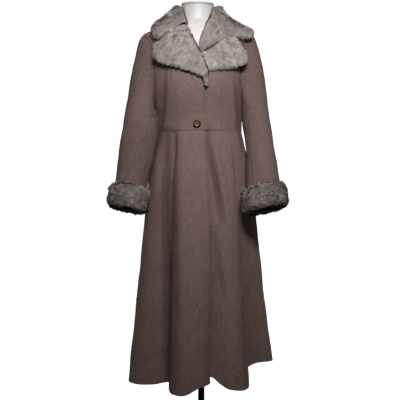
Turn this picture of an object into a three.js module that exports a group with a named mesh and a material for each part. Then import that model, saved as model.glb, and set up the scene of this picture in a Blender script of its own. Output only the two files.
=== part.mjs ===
// A long fit-and-flare wool overcoat with a fur collar, lapels and turn-back cuffs, fastened by one
// button and standing on a limbless dress form with a round base.
// Millimetres, +Z up. -Y is the front, +X is the wearer's left. Left and right are the wearer's throughout.
// The coat's own tables have the waist at x = 0 and z = WAIST. At the end the coat is raised onto its stand.
import * as THREE from 'three';

const DEGREE = Math.PI / 180;

// Cloth, fur and seams
const CLOTH_WALL = 3;
const SEAM_GAP = 0.3;
const LAID_GAP = 0.8;
const COLLAR_EASE = 1.5;
const TIP_EASE = 2;
const ARMHOLE_EASE = 0.55;
const COLLAR_FUR = 14;
const LAPEL_FUR = 14;
const STAND_FUR = 8;
const CUFF_FUR = 20;

// Heights that set the coat's length
const WAIST = 932;
const UNDERARM = 1021;
const ARMHOLE_TOP = 1266;

// Past this distance from the middle, lapels no longer follow the chest round, but fall back this steeply
const CHEST_TURN = 98;
const LAID_SLOPE = 0.36;

// Button
const BUTTON_ACROSS = 25;
const BUTTON_THICK = 4.5;
const BUTTON_HEIGHT = 957;
const BUTTON_X = -2;

// Dress form and its stand
const NECK_RADIUS = 56;
const NECK_FLATTENED = 3;
const NECK_TOP = 1364;
const CAP_THICK = 10;
const FORM_BOTTOM = 740;
const FORM_CLEARANCE = 0.8;
const SHOULDER_START = 1225;
const HIP_DROP = 0.3;
const POLE_RADIUS = 11;
const POLE_OFFSET = 12;
const STAND_RISE = 30;
const BASE_RADIUS = 165;
const BASE_THICK = 8;

// How the fronts lap: the top front lies this much above the cloth below it
const LAP_LIFT = CLOTH_WALL + 0.6;
const SKIRT_LAP_EASE = 3;
const HEM_LAP_LIFT = 12;

const COLOURS = {
  wool: { color: 0x645650, roughness: 0.95, metalness: 0 },
  fur: { color: 0x9c928c, roughness: 1, metalness: 0 },
  button: { color: 0x3a2418, roughness: 0.4, metalness: 0 },
  form: { color: 0xe6e2df, roughness: 0.7, metalness: 0 },
  stand: { color: 0x141414, roughness: 0.5, metalness: 0.6 },
};

// Level cuts of the bodice, from waist to neck: half widths on each side and the front and back depths
const BODICE_SECTIONS = [
  { z: 932, right: 136, left: 150, front: 112, back: 96 },
  { z: 980, right: 140, left: 150, front: 117, back: 99 },
  { z: 1021, right: 147, left: 152, front: 124, back: 104 },
  { z: 1085, right: 157, left: 158, front: 130, back: 112 },
  { z: 1150, right: 165, left: 165, front: 124, back: 117 },
  { z: 1200, right: 174, left: 174, front: 113, back: 114 },
  { z: 1235, right: 187, left: 187, front: 105, back: 107 },
  { z: 1256, right: 190, left: 190, front: 98, back: 99 },
  { z: 1266, right: 184, left: 184, front: 94, back: 95 },
  { z: 1284, right: 130, left: 130, front: 86, back: 87 },
  { z: 1300, right: 84, left: 84, front: 76, back: 76 },
  { z: 1312, right: 68, left: 68, front: 66, back: 66 },
];

// Level cuts of the skirt without its folds. The drop runs from 0 at the waist to 1 at the hem
const SKIRT_SECTIONS = [
  { drop: 0, right: 136, left: 150, front: 112, back: 96 },
  { drop: 0.05, right: 141, left: 158, front: 115, back: 104 },
  { drop: 0.1, right: 151, left: 168, front: 119, back: 112 },
  { drop: 0.2, right: 168, left: 180, front: 126, back: 124 },
  { drop: 0.35, right: 181, left: 198, front: 136, back: 137 },
  { drop: 0.6, right: 202, left: 219, front: 151, back: 155 },
  { drop: 0.8, right: 219, left: 237, front: 163, back: 170 },
  { drop: 1, right: 236, left: 258, front: 175, back: 185 },
];

// The skirt's ridges and valleys, once round from the centre front: where each one meets the hem, how
// high the hem hangs there, the drop where it starts, how late it grows, and its turn at the waist
const FOLDS = [
  { name: 'front right lobe', x: -50, y: -222, hem: 82, start: 0.02, growth: 0.9, lean: -6 },
  { name: 'front lobe slope', x: 2, y: -205, hem: 104, start: 0.02, growth: 1, lean: 0 },
  { name: 'top front edge', x: 30, y: -173, hem: 114, start: 0.1, growth: 1.2, lean: 2 },
  { name: 'under front notch', x: 46, y: -160, hem: 122, start: 0.1, growth: 1.2, lean: 3 },
  { name: 'left front rise', x: 72, y: -158, hem: 108, start: 0.1, growth: 1.2, lean: 3 },
  { name: 'left front flank', x: 104, y: -168, hem: 92, start: 0.1, growth: 1.2, lean: 2 },
  { name: 'left front lobe', x: 147, y: -161, hem: 88, start: 0.1, growth: 1.1, lean: 0 },
  { name: 'left front ridge', x: 168, y: -136, hem: 93, start: 0.12, growth: 0.9, lean: 2 },
  { name: 'left front valley', x: 150, y: -70, hem: 132, start: 0.06, growth: 0.7, lean: -10 },
  { name: 'left side rise', x: 205, y: -28, hem: 157, start: 0.1, growth: 1, lean: -2 },
  { name: 'left side edge', x: 258, y: 28, hem: 156, start: 0.1, growth: 1, lean: 0 },
  { name: 'left side back', x: 226, y: 104, hem: 148, start: 0.1, growth: 1, lean: 0 },
  { name: 'left back valley', x: 148, y: 118, hem: 138, start: 0.05, growth: 0.8, lean: 4 },
  { name: 'left back lobe', x: 112, y: 205, hem: 116, start: 0.08, growth: 1, lean: 3 },
  { name: 'left back slope', x: 52, y: 204, hem: 112, start: 0.1, growth: 1.1, lean: 0 },
  { name: 'centre back valley', x: 0, y: 168, hem: 116, start: 0.1, growth: 1, lean: 0 },
  { name: 'right back slope', x: -58, y: 208, hem: 108, start: 0.1, growth: 1.1, lean: 0 },
  { name: 'right back lobe', x: -118, y: 202, hem: 104, start: 0.08, growth: 1, lean: -3 },
  { name: 'right back valley', x: -146, y: 118, hem: 110, start: 0.05, growth: 0.8, lean: -4 },
  { name: 'right side back', x: -208, y: 92, hem: 98, start: 0.1, growth: 1, lean: 0 },
  { name: 'right side edge', x: -237, y: 15, hem: 90, start: 0.1, growth: 1, lean: 0 },
  { name: 'right side front', x: -204, y: -52, hem: 89, start: 0.1, growth: 1, lean: 0 },
  { name: 'right side slope', x: -150, y: -80, hem: 93, start: 0.08, growth: 0.9, lean: 2 },
  { name: 'right front valley', x: -97, y: -100, hem: 104, start: 0, growth: 0.55, lean: 3 },
  { name: 'right front flank', x: -91, y: -158, hem: 88, start: 0.02, growth: 0.8, lean: -4 },
  { name: 'right front corner', x: -78, y: -198, hem: 84, start: 0.02, growth: 0.9, lean: -6 },
];

// Seams between the panels: the angle round the body at each height of the bodice
const RIGHT_PRINCESS = [
  { z: 932, turn: -44 }, { z: 1021, turn: -39 }, { z: 1090, turn: -35 }, { z: 1180, turn: -32 },
  { z: 1250, turn: -38 }, { z: 1284, turn: -52 }, { z: 1300, turn: -62 }, { z: 1312, turn: -70 },
];
const LEFT_PRINCESS = [
  { z: 932, turn: 34 }, { z: 1021, turn: 32 }, { z: 1090, turn: 31 }, { z: 1180, turn: 30 },
  { z: 1250, turn: 38 }, { z: 1284, turn: 52 }, { z: 1300, turn: 62 }, { z: 1312, turn: 70 },
];
const BACK_PRINCESS = [
  { z: 932, turn: 148 }, { z: 1090, turn: 147 }, { z: 1200, turn: 146 },
  { z: 1256, turn: 140 }, { z: 1284, turn: 128 }, { z: 1312, turn: 120 },
];
// The same seams down the skirt
const RIGHT_PRINCESS_SKIRT = [
  { drop: 0, turn: -44 }, { drop: 0.3, turn: -38 }, { drop: 1, turn: -35.9 },
];
const LEFT_PRINCESS_SKIRT = [
  { drop: 0, turn: 34 }, { drop: 0.3, turn: 42 }, { drop: 1, turn: 57.5 },
];
const LEFT_BACK_SKIRT = [{ drop: 0, turn: 148 }, { drop: 1, turn: 138 }];
const RIGHT_BACK_SKIRT = [{ drop: 0, turn: -148 }, { drop: 1, turn: -138 }];

// Armhole edge: the angle round the body where the front and the back end, below the shoulder
const ARMHOLE = [
  { z: 1021, front: 92, back: 92 },
  { z: 1034, front: 78, back: 105 },
  { z: 1060, front: 70, back: 113 },
  { z: 1100, front: 65, back: 118 },
  { z: 1145, front: 62, back: 120 },
  { z: 1190, front: 60, back: 121 },
  { z: 1225, front: 60, back: 120 },
  { z: 1248, front: 66, back: 114 },
  { z: 1260, front: 76, back: 104 },
  { z: 1266, front: 90, back: 90 },
];

// Free edges of the two fronts, as distances from the middle. Above the break they are roll lines
const TOP_FRONT_EDGE = [
  { z: 932, x: 16 }, { z: 1000, x: 13 }, { z: 1077, x: 12 }, { z: 1110, x: 16 }, { z: 1166, x: 13 },
  { z: 1217, x: -8 }, { z: 1260, x: -28 }, { z: 1287, x: -40 }, { z: 1300, x: -46 }, { z: 1312, x: -52 },
];
const UNDER_FRONT_EDGE = [
  { z: 932, x: -46 }, { z: 1077, x: -42 }, { z: 1110, x: -36 }, { z: 1166, x: -20 },
  { z: 1217, x: 6 }, { z: 1260, x: 28 }, { z: 1287, x: 40 }, { z: 1300, x: 46 }, { z: 1312, x: 52 },
];
const TOP_FRONT_SKIRT_EDGE = [
  { drop: 0, turn: 7.6 }, { drop: 0.1, turn: 8.4 }, { drop: 0.35, turn: 10.4 },
  { drop: 0.6, turn: 10 }, { drop: 1, turn: 6.9 },
];
const UNDER_FRONT_SKIRT_EDGE = [{ drop: 0, turn: -19 }, { drop: 1, turn: -8 }];

// Heights of the grid's rows
const BODICE_ROWS = [
  932, 965, 995, 1021, 1034, 1060, 1100, 1145, 1190, 1225, 1248, 1260, 1266, 1278, 1290, 1301, 1312,
];
const SKIRT_ROWS = [1, 0.93, 0.84, 0.74, 0.63, 0.52, 0.41, 0.31, 0.22, 0.14, 0.07, 0];

// Sleeves: level cuts from below the armhole to the wrist
const RIGHT_SLEEVE = [
  { z: 1000, outer: 246, inner: 148, y: -18, depth: 62, side: 0, fore: 0 },
  { z: 960, outer: 251, inner: 134, y: -40, depth: 59, side: 0.03, fore: 0.02 },
  { z: 930, outer: 255, inner: 133, y: -46, depth: 57, side: 0.05, fore: 0.04 },
  { z: 900, outer: 259, inner: 138, y: -47, depth: 56, side: 0.07, fore: 0.06 },
  { z: 850, outer: 265, inner: 149, y: -48, depth: 55, side: 0.1, fore: 0.1 },
  { z: 800, outer: 271, inner: 160, y: -50, depth: 54, side: 0.13, fore: 0.15 },
  { z: 750, outer: 277, inner: 168, y: -53, depth: 54, side: 0.16, fore: 0.19 },
  { z: 682, outer: 285, inner: 179, y: -60, depth: 52, side: 0.18, fore: 0.2 },
];
const LEFT_SLEEVE = [
  { z: 1000, outer: 242, inner: 158, y: -8, depth: 58, side: 0, fore: 0 },
  { z: 960, outer: 246, inner: 163, y: -16, depth: 56, side: 0.03, fore: 0.04 },
  { z: 900, outer: 254, inner: 165, y: -38, depth: 54, side: 0.07, fore: 0.1 },
  { z: 850, outer: 260, inner: 164, y: -63, depth: 54, side: 0.1, fore: 0.15 },
  { z: 800, outer: 266, inner: 161, y: -90, depth: 55, side: 0.13, fore: 0.19 },
  { z: 750, outer: 272, inner: 160, y: -112, depth: 55, side: 0.16, fore: 0.22 },
  { z: 682, outer: 280, inner: 163, y: -130, depth: 52, side: 0.18, fore: 0.24 },
];
const SLEEVE_ROWS = [1000, 965, 925, 885, 845, 805, 765, 724, 682];
const SLEEVE_HEAD_STEPS = [0.16, 0.4, 0.7];

// Cuff: how far the fur stands off the sleeve along the cuff, from its top to its rolled lower rim
const CUFF_TOP = 750;
const CUFF_BOTTOM = 671;
const RIGHT_CUFF_INNER_SHARE = 0.4;
const CUFF_PROFILE = [
  { along: 0, out: 0.22 }, { along: 0.05, out: 0.62 }, { along: 0.18, out: 0.93 },
  { along: 0.4, out: 1 }, { along: 0.65, out: 0.98 }, { along: 0.86, out: 0.82 },
  { along: 0.97, out: 0.45 },
];

// Top lapel, row by row from the gorge to its tail: the roll edge and the outer edge
const TOP_LAPEL = [
  { rollX: -36, rollZ: 1283, outerX: -132, outerZ: 1220, bow: 7 },
  { rollX: -23, rollZ: 1257, outerX: -142, outerZ: 1202, bow: 5 },
  { rollX: -4, rollZ: 1219, outerX: -138, outerZ: 1178, bow: 2 },
  { rollX: 8, rollZ: 1193, outerX: -116, outerZ: 1161, bow: 0 },
  { rollX: 19, rollZ: 1167, outerX: -74, outerZ: 1143, bow: 0 },
  { rollX: 27, rollZ: 1148, outerX: -30, outerZ: 1126, bow: 0 },
  { rollX: 33, rollZ: 1128, outerX: 10, outerZ: 1109, bow: 0 },
  { rollX: 37, rollZ: 1104, outerX: 17, outerZ: 1096, bow: 0 },
  { rollX: 38, rollZ: 1086, outerX: 19, outerZ: 1082, bow: 0 },
  { rollX: 33, rollZ: 1076, outerX: 25, outerZ: 1075, bow: 0 },
];

// Under lapel, from its inner end to its point: the gorge edge and the lower edge
const UNDER_LAPEL = [
  { topX: 24, topZ: 1180, lowX: 24, lowZ: 1124, fur: 3 },
  { topX: 36, topZ: 1196, lowX: 42, lowZ: 1127, fur: 5 },
  { topX: 54, topZ: 1211, lowX: 64, lowZ: 1131, fur: 13 },
  { topX: 77, topZ: 1226, lowX: 90, lowZ: 1135, fur: 14 },
  { topX: 98, topZ: 1238, lowX: 112, lowZ: 1139, fur: 14 },
  { topX: 118, topZ: 1238, lowX: 134, lowZ: 1146, fur: 14 },
  { topX: 137, topZ: 1224, lowX: 149, lowZ: 1153, fur: 14 },
  { topX: 150, topZ: 1204, lowX: 159, lowZ: 1164, fur: 13 },
  { topX: 159, topZ: 1186, lowX: 163, lowZ: 1174, fur: 12 },
];

// Collar, from its right front end round the back to its left front end: [x, y, z] on its middle surface
// at the stand's foot, the stand's middle, the roll, the middle of the fall and the outer edge
const COLLAR = [
  {
    foot: [-31, -99, 1284], stand: [-33, -100, 1287], roll: [-40, -104, 1292],
    fall: [-88, -90, 1267], edge: [-131, -78, 1233],
  },
  {
    foot: [-38, -66, 1306], stand: [-40, -72, 1311], roll: [-46, -80, 1319],
    fall: [-94, -78, 1289], edge: [-149, -66, 1245],
  },
  {
    foot: [-48, -50, 1317], stand: [-48, -55, 1332], roll: [-52, -61, 1343],
    fall: [-98, -52, 1305], edge: [-157, -48, 1262],
  },
  {
    foot: [-59, -34, 1317], stand: [-58, -36, 1341], roll: [-62, -38, 1355],
    fall: [-98, -28, 1317], edge: [-156, -22, 1278],
  },
  {
    foot: [-68, 0, 1317], stand: [-66, 0, 1344], roll: [-68, 2, 1360],
    fall: [-99, 8, 1323], edge: [-148, 20, 1284],
  },
  {
    foot: [-50, 47, 1317], stand: [-50, 48, 1345], roll: [-53, 53, 1363],
    fall: [-80, 76, 1328], edge: [-112, 96, 1262],
  },
  {
    foot: [0, 68, 1317], stand: [0, 68, 1345], roll: [0, 75, 1364],
    fall: [0, 105, 1328], edge: [0, 112, 1254],
  },
  {
    foot: [50, 47, 1317], stand: [50, 48, 1345], roll: [53, 53, 1363],
    fall: [80, 76, 1326], edge: [118, 96, 1262],
  },
  {
    foot: [68, 0, 1317], stand: [66, 0, 1344], roll: [68, 2, 1360],
    fall: [97, 8, 1319], edge: [160, 20, 1284],
  },
  {
    foot: [59, -34, 1317], stand: [58, -36, 1341], roll: [62, -38, 1354],
    fall: [112, -30, 1307], edge: [183, -28, 1272],
  },
  {
    foot: [48, -50, 1317], stand: [48, -55, 1332], roll: [51, -62, 1342],
    fall: [114, -60, 1291], edge: [186, -52, 1254],
  },
  {
    foot: [38, -66, 1306], stand: [40, -72, 1311], roll: [45, -82, 1317],
    fall: [106, -84, 1274], edge: [166, -72, 1243],
  },
  {
    foot: [25, -99, 1282], stand: [27, -100, 1285], roll: [34, -104, 1288],
    fall: [88, -92, 1262], edge: [138, -78, 1247],
  },
  {
    foot: [5, -112, 1227], stand: [8, -114, 1229], roll: [15, -116, 1232],
    fall: [62, -110, 1240], edge: [117, -90, 1252],
  },
  {
    foot: [24, -118, 1194], stand: [27, -119, 1197], roll: [34, -120, 1201],
    fall: [63, -112, 1223], edge: [100, -98, 1250],
  },
];
const COLLAR_ROWS = 26;
const COLLAR_COLUMNS = [0, 0.12, 0.3, 0.42, 0.5, 0.6, 0.7, 0.79, 0.87, 0.95, 1];

// Dress form: how far it lies inside the coat's outer face at each height
const FORM_INSET = [
  { z: 740, inset: 34 }, { z: 860, inset: 26 }, { z: 932, inset: 18 }, { z: 1060, inset: 15 },
  { z: 1150, inset: 14 }, { z: 1230, inset: 8 }, { z: 1256, inset: 4.4 },
  { z: 1278, inset: CLOTH_WALL + FORM_CLEARANCE }, { z: 1300, inset: CLOTH_WALL + FORM_CLEARANCE },
];
const FORM_ROWS = [740, 744, 790, 850, 932, 1000, 1060, 1120, 1180, 1220, 1245, 1258, 1268, 1280, 1292, 1301];

// ---- Curves through tables ----

// Slopes that keep a curve through its points without overshoot
function calmSlopes(xs, ys) {
  const last = xs.length - 1;
  const steps = xs.slice(1).map((x, i) => (ys[i + 1] - ys[i]) / (x - xs[i]));
  return xs.map((x, i) => {
    if (i === 0) return steps[0];
    if (i === last) return steps[last - 1];
    const before = steps[i - 1];
    const after = steps[i];
    return before * after <= 0 ? 0 : (2 * before * after) / (before + after);
  });
}

// A smooth function of one column of a table, held level beyond its ends
function curveOf(rows, across, value) {
  const ordered = [...rows].sort((a, b) => a[across] - b[across]);
  const xs = ordered.map((row) => row[across]);
  const ys = ordered.map((row) => row[value]);
  const slopes = calmSlopes(xs, ys);
  return (x) => {
    if (x <= xs[0]) return ys[0];
    if (x >= xs[xs.length - 1]) return ys[ys.length - 1];
    const i = xs.findIndex((edge) => edge > x) - 1;
    return hermite(xs[i], xs[i + 1], ys[i], ys[i + 1], slopes[i], slopes[i + 1], x);
  };
}

function hermite(x0, x1, y0, y1, slope0, slope1, x) {
  const width = x1 - x0;
  const t = (x - x0) / width;
  const rise = t * t * (3 - 2 * t);
  return y0 * (1 - rise) + y1 * rise
    + width * slope0 * t * (1 - t) * (1 - t)
    - width * slope1 * t * t * (1 - t);
}

function smoothstep(from, to, x) {
  const t = Math.min(1, Math.max(0, (x - from) / (to - from)));
  return t * t * (3 - 2 * t);
}

function curvesOf(rows, across, names) {
  return Object.fromEntries(names.map((name) => [name, curveOf(rows, across, name)]));
}

// ---- The body's outer face ----
// A level is a height above the waist where it is positive, and minus the drop down the skirt below it.

const SIZES = ['right', 'left', 'front', 'back'];
const bodice = curvesOf(BODICE_SECTIONS, 'z', SIZES);
const skirt = curvesOf(SKIRT_SECTIONS, 'drop', SIZES);

function sectionAt(level) {
  const curves = level < 0 ? skirt : bodice;
  const where = level < 0 ? -level : WAIST + level;
  return Object.fromEntries(SIZES.map((size) => [size, curves[size](where)]));
}

// Each fold as a turn round the hem and a share of the section's size there
const foldMarks = FOLDS.map((fold) => {
  const hem = sectionAt(-1);
  const across = fold.x / (fold.x < 0 ? hem.right : hem.left);
  const through = fold.y / (fold.y < 0 ? hem.front : hem.back);
  const turn = Math.atan2(across, -through) / DEGREE;
  return { ...fold, turn, reach: Math.hypot(across, through) - 1 };
}).sort((a, b) => a.turn - b.turn);

// Value of a fold property at a turn, through the marks once round
function roundTheFolds(turn, turnOf, valueOf) {
  const marks = foldMarks.map((mark) => ({ turn: turnOf(mark), value: valueOf(mark) }));
  const count = marks.length;
  const at = (i) => {
    const laps = Math.floor(i / count);
    const mark = marks[i - laps * count];
    return { turn: mark.turn + 360 * laps, value: mark.value };
  };
  let next = marks.findIndex((mark) => mark.turn > turn);
  if (next < 0) next = count;
  const near = [next - 2, next - 1, next, next + 1].map(at);
  const slopes = calmSlopes(near.map((mark) => mark.turn), near.map((mark) => mark.value));
  return hermite(near[1].turn, near[2].turn, near[1].value, near[2].value, slopes[1], slopes[2], turn);
}

function foldReach(turn, drop) {
  return roundTheFolds(
    turn,
    (mark) => mark.turn + mark.lean * (1 - drop),
    (mark) => mark.reach * Math.pow(Math.max(0, (drop - mark.start) / (1 - mark.start)), mark.growth),
  );
}

function hemHeight(turn) {
  return roundTheFolds(turn, (mark) => mark.turn, (mark) => mark.hem);
}

// The bust's fullness at each side of the centre front
function bustSwell(x, z) {
  const up = (z - 1082) / 55;
  const side = (Math.abs(x) - 78) / 42;
  return 7 * Math.exp(-up * up - side * side);
}

function bodyPoint(turn, level) {
  const section = sectionAt(level);
  const wrapped = ((((turn + 180) % 360) + 360) % 360) - 180;
  const across = Math.sin(wrapped * DEGREE);
  const ahead = Math.cos(wrapped * DEGREE);
  const scale = level < 0 ? 1 + foldReach(wrapped, -level) : 1;
  const x = across * (across < 0 ? section.right : section.left) * scale;
  let y = -ahead * (ahead > 0 ? section.front : section.back) * scale;
  const z = level < 0 ? WAIST + level * (WAIST - hemHeight(wrapped)) : WAIST + level;
  if (ahead > 0) y -= bustSwell(x, z) * Math.min(1, ahead * 2);
  return new THREE.Vector3(x, y, z);
}

// Outward normal of the body's face, from points a little way round and up
function bodyNormal(turn, level) {
  const aside = 0.4;
  const above = level < 0 ? 0.004 : 2;
  const top = 1312 - WAIST;
  const high = Math.min(top, level < 0 ? Math.min(0, level + above) : level + above);
  const low = level < 0 ? Math.max(-1, level - above) : Math.max(0, level - above);
  const round = bodyPoint(turn + aside, level).sub(bodyPoint(turn - aside, level));
  const up = bodyPoint(turn, high).sub(bodyPoint(turn, low));
  return round.cross(up).normalize();
}

// The angle round the body at which its face is x away from the middle
function turnAt(x, level) {
  const section = sectionAt(level);
  const half = x < 0 ? section.right : section.left;
  return Math.asin(Math.max(-0.999, Math.min(0.999, x / half))) / DEGREE;
}

// A point on the front, moved out from its face
function frontPoint(x, z, out) {
  const level = z - WAIST;
  const turn = turnAt(x, level);
  return bodyPoint(turn, level).addScaledVector(bodyNormal(turn, level), out);
}

// A point on what lies on the front: past the chest's turn it goes on almost straight
function laidPoint(x, z, out) {
  const reach = Math.min(Math.abs(x), CHEST_TURN);
  const point = frontPoint(Math.sign(x) * reach, z, out);
  point.x += x - Math.sign(x) * reach;
  point.y += LAID_SLOPE * (Math.abs(x) - reach);
  return point;
}

// Signed distance from the bodice's face, about right near it
function bodiceDistance(point) {
  const shape = (p) => {
    const level = Math.max(0, p.z - WAIST);
    const section = sectionAt(level);
    const across = p.x / (p.x < 0 ? section.right : section.left);
    const through = p.y / (p.y < 0 ? section.front : section.back);
    return Math.hypot(across, through) - 1;
  };
  const step = 0.5;
  const here = shape(point);
  const slope = new THREE.Vector3(
    shape(point.clone().add(new THREE.Vector3(step, 0, 0))) - here,
    shape(point.clone().add(new THREE.Vector3(0, step, 0))) - here,
    shape(point.clone().add(new THREE.Vector3(0, 0, step))) - here,
  ).divideScalar(step);
  return { distance: here / slope.length(), outward: slope.normalize() };
}

// The place on the bodice's face under a point, and how far outside it the point lies
function footOf(point) {
  const foot = point.clone();
  for (let i = 0; i < 14; i += 1) {
    const { distance, outward } = bodiceDistance(foot);
    foot.addScaledVector(outward, -0.8 * distance);
  }
  const { outward } = bodiceDistance(foot);
  return { foot, outward, height: point.clone().sub(foot).dot(outward) };
}

// Moves a point straight off the bodice until it lies a given distance outside it
function settle(point, out) {
  const { foot, outward } = footOf(point);
  return foot.addScaledVector(outward, out);
}

// ---- Closed solids ----

// A closed mesh from two matching grids of points, an outer and an inner skin
function meshOfSkins(name, finish, outer, inner, ringed = false) {
  const rows = outer.length;
  const columns = outer[0].length;
  const positions = [...outer, ...inner].flat().flatMap((p) => [p.x, p.y, p.z]);
  const faces = [];
  const at = (skin, i, j) => skin * rows * columns + i * columns + (j % columns);
  const quad = (a, b, c, d) => faces.push(a, b, c, a, c, d);
  const spans = ringed ? columns : columns - 1;
  for (let i = 0; i < rows - 1; i += 1) {
    for (let j = 0; j < spans; j += 1) {
      quad(at(0, i, j), at(0, i, j + 1), at(0, i + 1, j + 1), at(0, i + 1, j));
      quad(at(1, i, j), at(1, i + 1, j), at(1, i + 1, j + 1), at(1, i, j + 1));
    }
  }
  for (let j = 0; j < spans; j += 1) {
    quad(at(0, 0, j), at(1, 0, j), at(1, 0, j + 1), at(0, 0, j + 1));
    quad(at(0, rows - 1, j), at(0, rows - 1, j + 1), at(1, rows - 1, j + 1), at(1, rows - 1, j));
  }
  if (!ringed) {
    for (let i = 0; i < rows - 1; i += 1) {
      quad(at(0, i, 0), at(0, i + 1, 0), at(1, i + 1, 0), at(1, i, 0));
      const last = columns - 1;
      quad(at(0, i, last), at(1, i, last), at(1, i + 1, last), at(0, i + 1, last));
    }
  }
  return closedMesh(name, finish, positions, faces);
}

// A closed mesh from rings of points, capped flat at both ends
function meshOfRings(name, finish, rings) {
  const columns = rings[0].length;
  const positions = rings.flat().flatMap((p) => [p.x, p.y, p.z]);
  const faces = [];
  for (let i = 0; i < rings.length - 1; i += 1) {
    for (let j = 0; j < columns; j += 1) {
      const right = (j + 1) % columns;
      const a = i * columns + j;
      const b = i * columns + right;
      const c = (i + 1) * columns + right;
      const d = (i + 1) * columns + j;
      faces.push(a, b, c, a, c, d);
    }
  }
  for (const [ring, turned] of [[0, true], [rings.length - 1, false]]) {
    const middle = rings[ring].reduce((sum, p) => sum.add(p), new THREE.Vector3()).divideScalar(columns);
    const hub = positions.length / 3;
    positions.push(middle.x, middle.y, middle.z);
    for (let j = 0; j < columns; j += 1) {
      const a = ring * columns + j;
      const b = ring * columns + ((j + 1) % columns);
      faces.push(...(turned ? [hub, b, a] : [hub, a, b]));
    }
  }
  return closedMesh(name, finish, positions, faces);
}

// Turns the faces round where the solid would be inside out
function closedMesh(name, finish, positions, faces) {
  const point = (i) => new THREE.Vector3(positions[3 * i], positions[3 * i + 1], positions[3 * i + 2]);
  let volume = 0;
  for (let i = 0; i < faces.length; i += 3) {
    volume += point(faces[i]).dot(point(faces[i + 1]).cross(point(faces[i + 2])));
  }
  const outward = volume < 0 ? [...faces].reverse() : faces;
  const geometry = new THREE.BufferGeometry();
  geometry.setAttribute('position', new THREE.Float32BufferAttribute(positions, 3));
  geometry.setIndex(outward);
  geometry.computeVertexNormals();
  const mesh = new THREE.Mesh(geometry, new THREE.MeshStandardMaterial(finish));
  mesh.name = name;
  return mesh;
}

// ---- Body panels ----

const curves = {
  rightPrincess: curveOf(RIGHT_PRINCESS, 'z', 'turn'),
  leftPrincess: curveOf(LEFT_PRINCESS, 'z', 'turn'),
  backPrincess: curveOf(BACK_PRINCESS, 'z', 'turn'),
  rightPrincessSkirt: curveOf(RIGHT_PRINCESS_SKIRT, 'drop', 'turn'),
  leftPrincessSkirt: curveOf(LEFT_PRINCESS_SKIRT, 'drop', 'turn'),
  leftBackSkirt: curveOf(LEFT_BACK_SKIRT, 'drop', 'turn'),
  rightBackSkirt: curveOf(RIGHT_BACK_SKIRT, 'drop', 'turn'),
  armholeFront: curveOf(ARMHOLE, 'z', 'front'),
  armholeBack: curveOf(ARMHOLE, 'z', 'back'),
  topEdge: curveOf(TOP_FRONT_EDGE, 'z', 'x'),
  underEdge: curveOf(UNDER_FRONT_EDGE, 'z', 'x'),
  topSkirtEdge: curveOf(TOP_FRONT_SKIRT_EDGE, 'drop', 'turn'),
  underSkirtEdge: curveOf(UNDER_FRONT_SKIRT_EDGE, 'drop', 'turn'),
};

const SKIRT_LEVELS = SKIRT_ROWS.map((drop) => -drop);
const BODICE_LEVELS = BODICE_ROWS.map((z) => z - WAIST);
const BODY_LEVELS = [...SKIRT_LEVELS.slice(0, -1), ...BODICE_LEVELS];

function seam(bodiceCurve, skirtCurve, sign = 1) {
  return (level) => sign * (level < 0 ? skirtCurve(-level) : bodiceCurve(WAIST + level));
}

const SEAMS = {
  rightFront: seam(curves.rightPrincess, curves.rightPrincessSkirt),
  leftFront: seam(curves.leftPrincess, curves.leftPrincessSkirt),
  leftBack: seam(curves.backPrincess, curves.leftBackSkirt),
  rightBack: (level) => (level < 0 ? curves.rightBackSkirt(-level) : -curves.backPrincess(WAIST + level)),
  // The side seam, and above the underarm the armhole's edge, then the shoulder seam
  sideFront: (level) => (level <= UNDERARM - WAIST ? 92 : curves.armholeFront(WAIST + level)),
  sideBack: (level) => (level <= UNDERARM - WAIST ? 92 : curves.armholeBack(WAIST + level)),
  topFrontEdge: (level) => (level < 0
    ? curves.topSkirtEdge(-level)
    : turnAt(curves.topEdge(WAIST + level), level)),
  underFrontEdge: (level) => (level < 0
    ? curves.underSkirtEdge(-level)
    : turnAt(curves.underEdge(WAIST + level), level)),
};

// How far the top front stands off the body's face where it laps over the under front
function lapLift(turn, level) {
  const start = SEAMS.underFrontEdge(level) - 9;
  const lap = smoothstep(start - 9, start + 3, turn);
  if (level < 0) {
    const loose = SKIRT_LAP_EASE * smoothstep(0, 0.2, -level);
    const atEdge = (HEM_LAP_LIFT - LAP_LIFT) * Math.pow(-level, 1.5) * smoothstep(-4, 9, turn);
    return lap * (LAP_LIFT + loose + atEdge);
  }
  return lap * LAP_LIFT * (1 - smoothstep(1222, 1250, WAIST + level));
}

// A wall between two seams. Its side edges are drawn back by half a seam gap, as are its marked ends
function panel(name, levels, from, to, columns, options = {}) {
  const { lift = () => 0, cutLow = false, cutHigh = false, hemRaise = () => 0 } = options;
  const outer = [];
  const inner = [];
  levels.forEach((level, i) => {
    const start = from(level);
    const end = to(level);
    const outerRow = [];
    const innerRow = [];
    for (let j = 0; j <= columns; j += 1) {
      const turn = start + ((end - start) * j) / columns;
      const normal = bodyNormal(turn, level);
      const point = bodyPoint(turn, level).addScaledVector(normal, lift(turn, level));
      if (j === 0 || j === columns) {
        const inside = bodyPoint(turn + (j === 0 ? 0.5 : -0.5), level);
        inside.sub(bodyPoint(turn, level)).normalize();
        point.addScaledVector(inside, SEAM_GAP / 2);
      }
      if (i === 0 && cutLow) point.z += SEAM_GAP / 2;
      if (i === levels.length - 1 && cutHigh) point.z -= SEAM_GAP / 2;
      if (level < 0) point.z += hemRaise(turn) * Math.pow(-level, 3);
      outerRow.push(point);
      innerRow.push(point.clone().addScaledVector(normal, -CLOTH_WALL));
    }
    outer.push(outerRow);
    inner.push(innerRow);
  });
  return meshOfSkins(name, COLOURS.wool, outer, inner);
}

const mirror = (edge) => (level) => -edge(level);
const centreBack = (sign) => () => 180 * sign;

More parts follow.
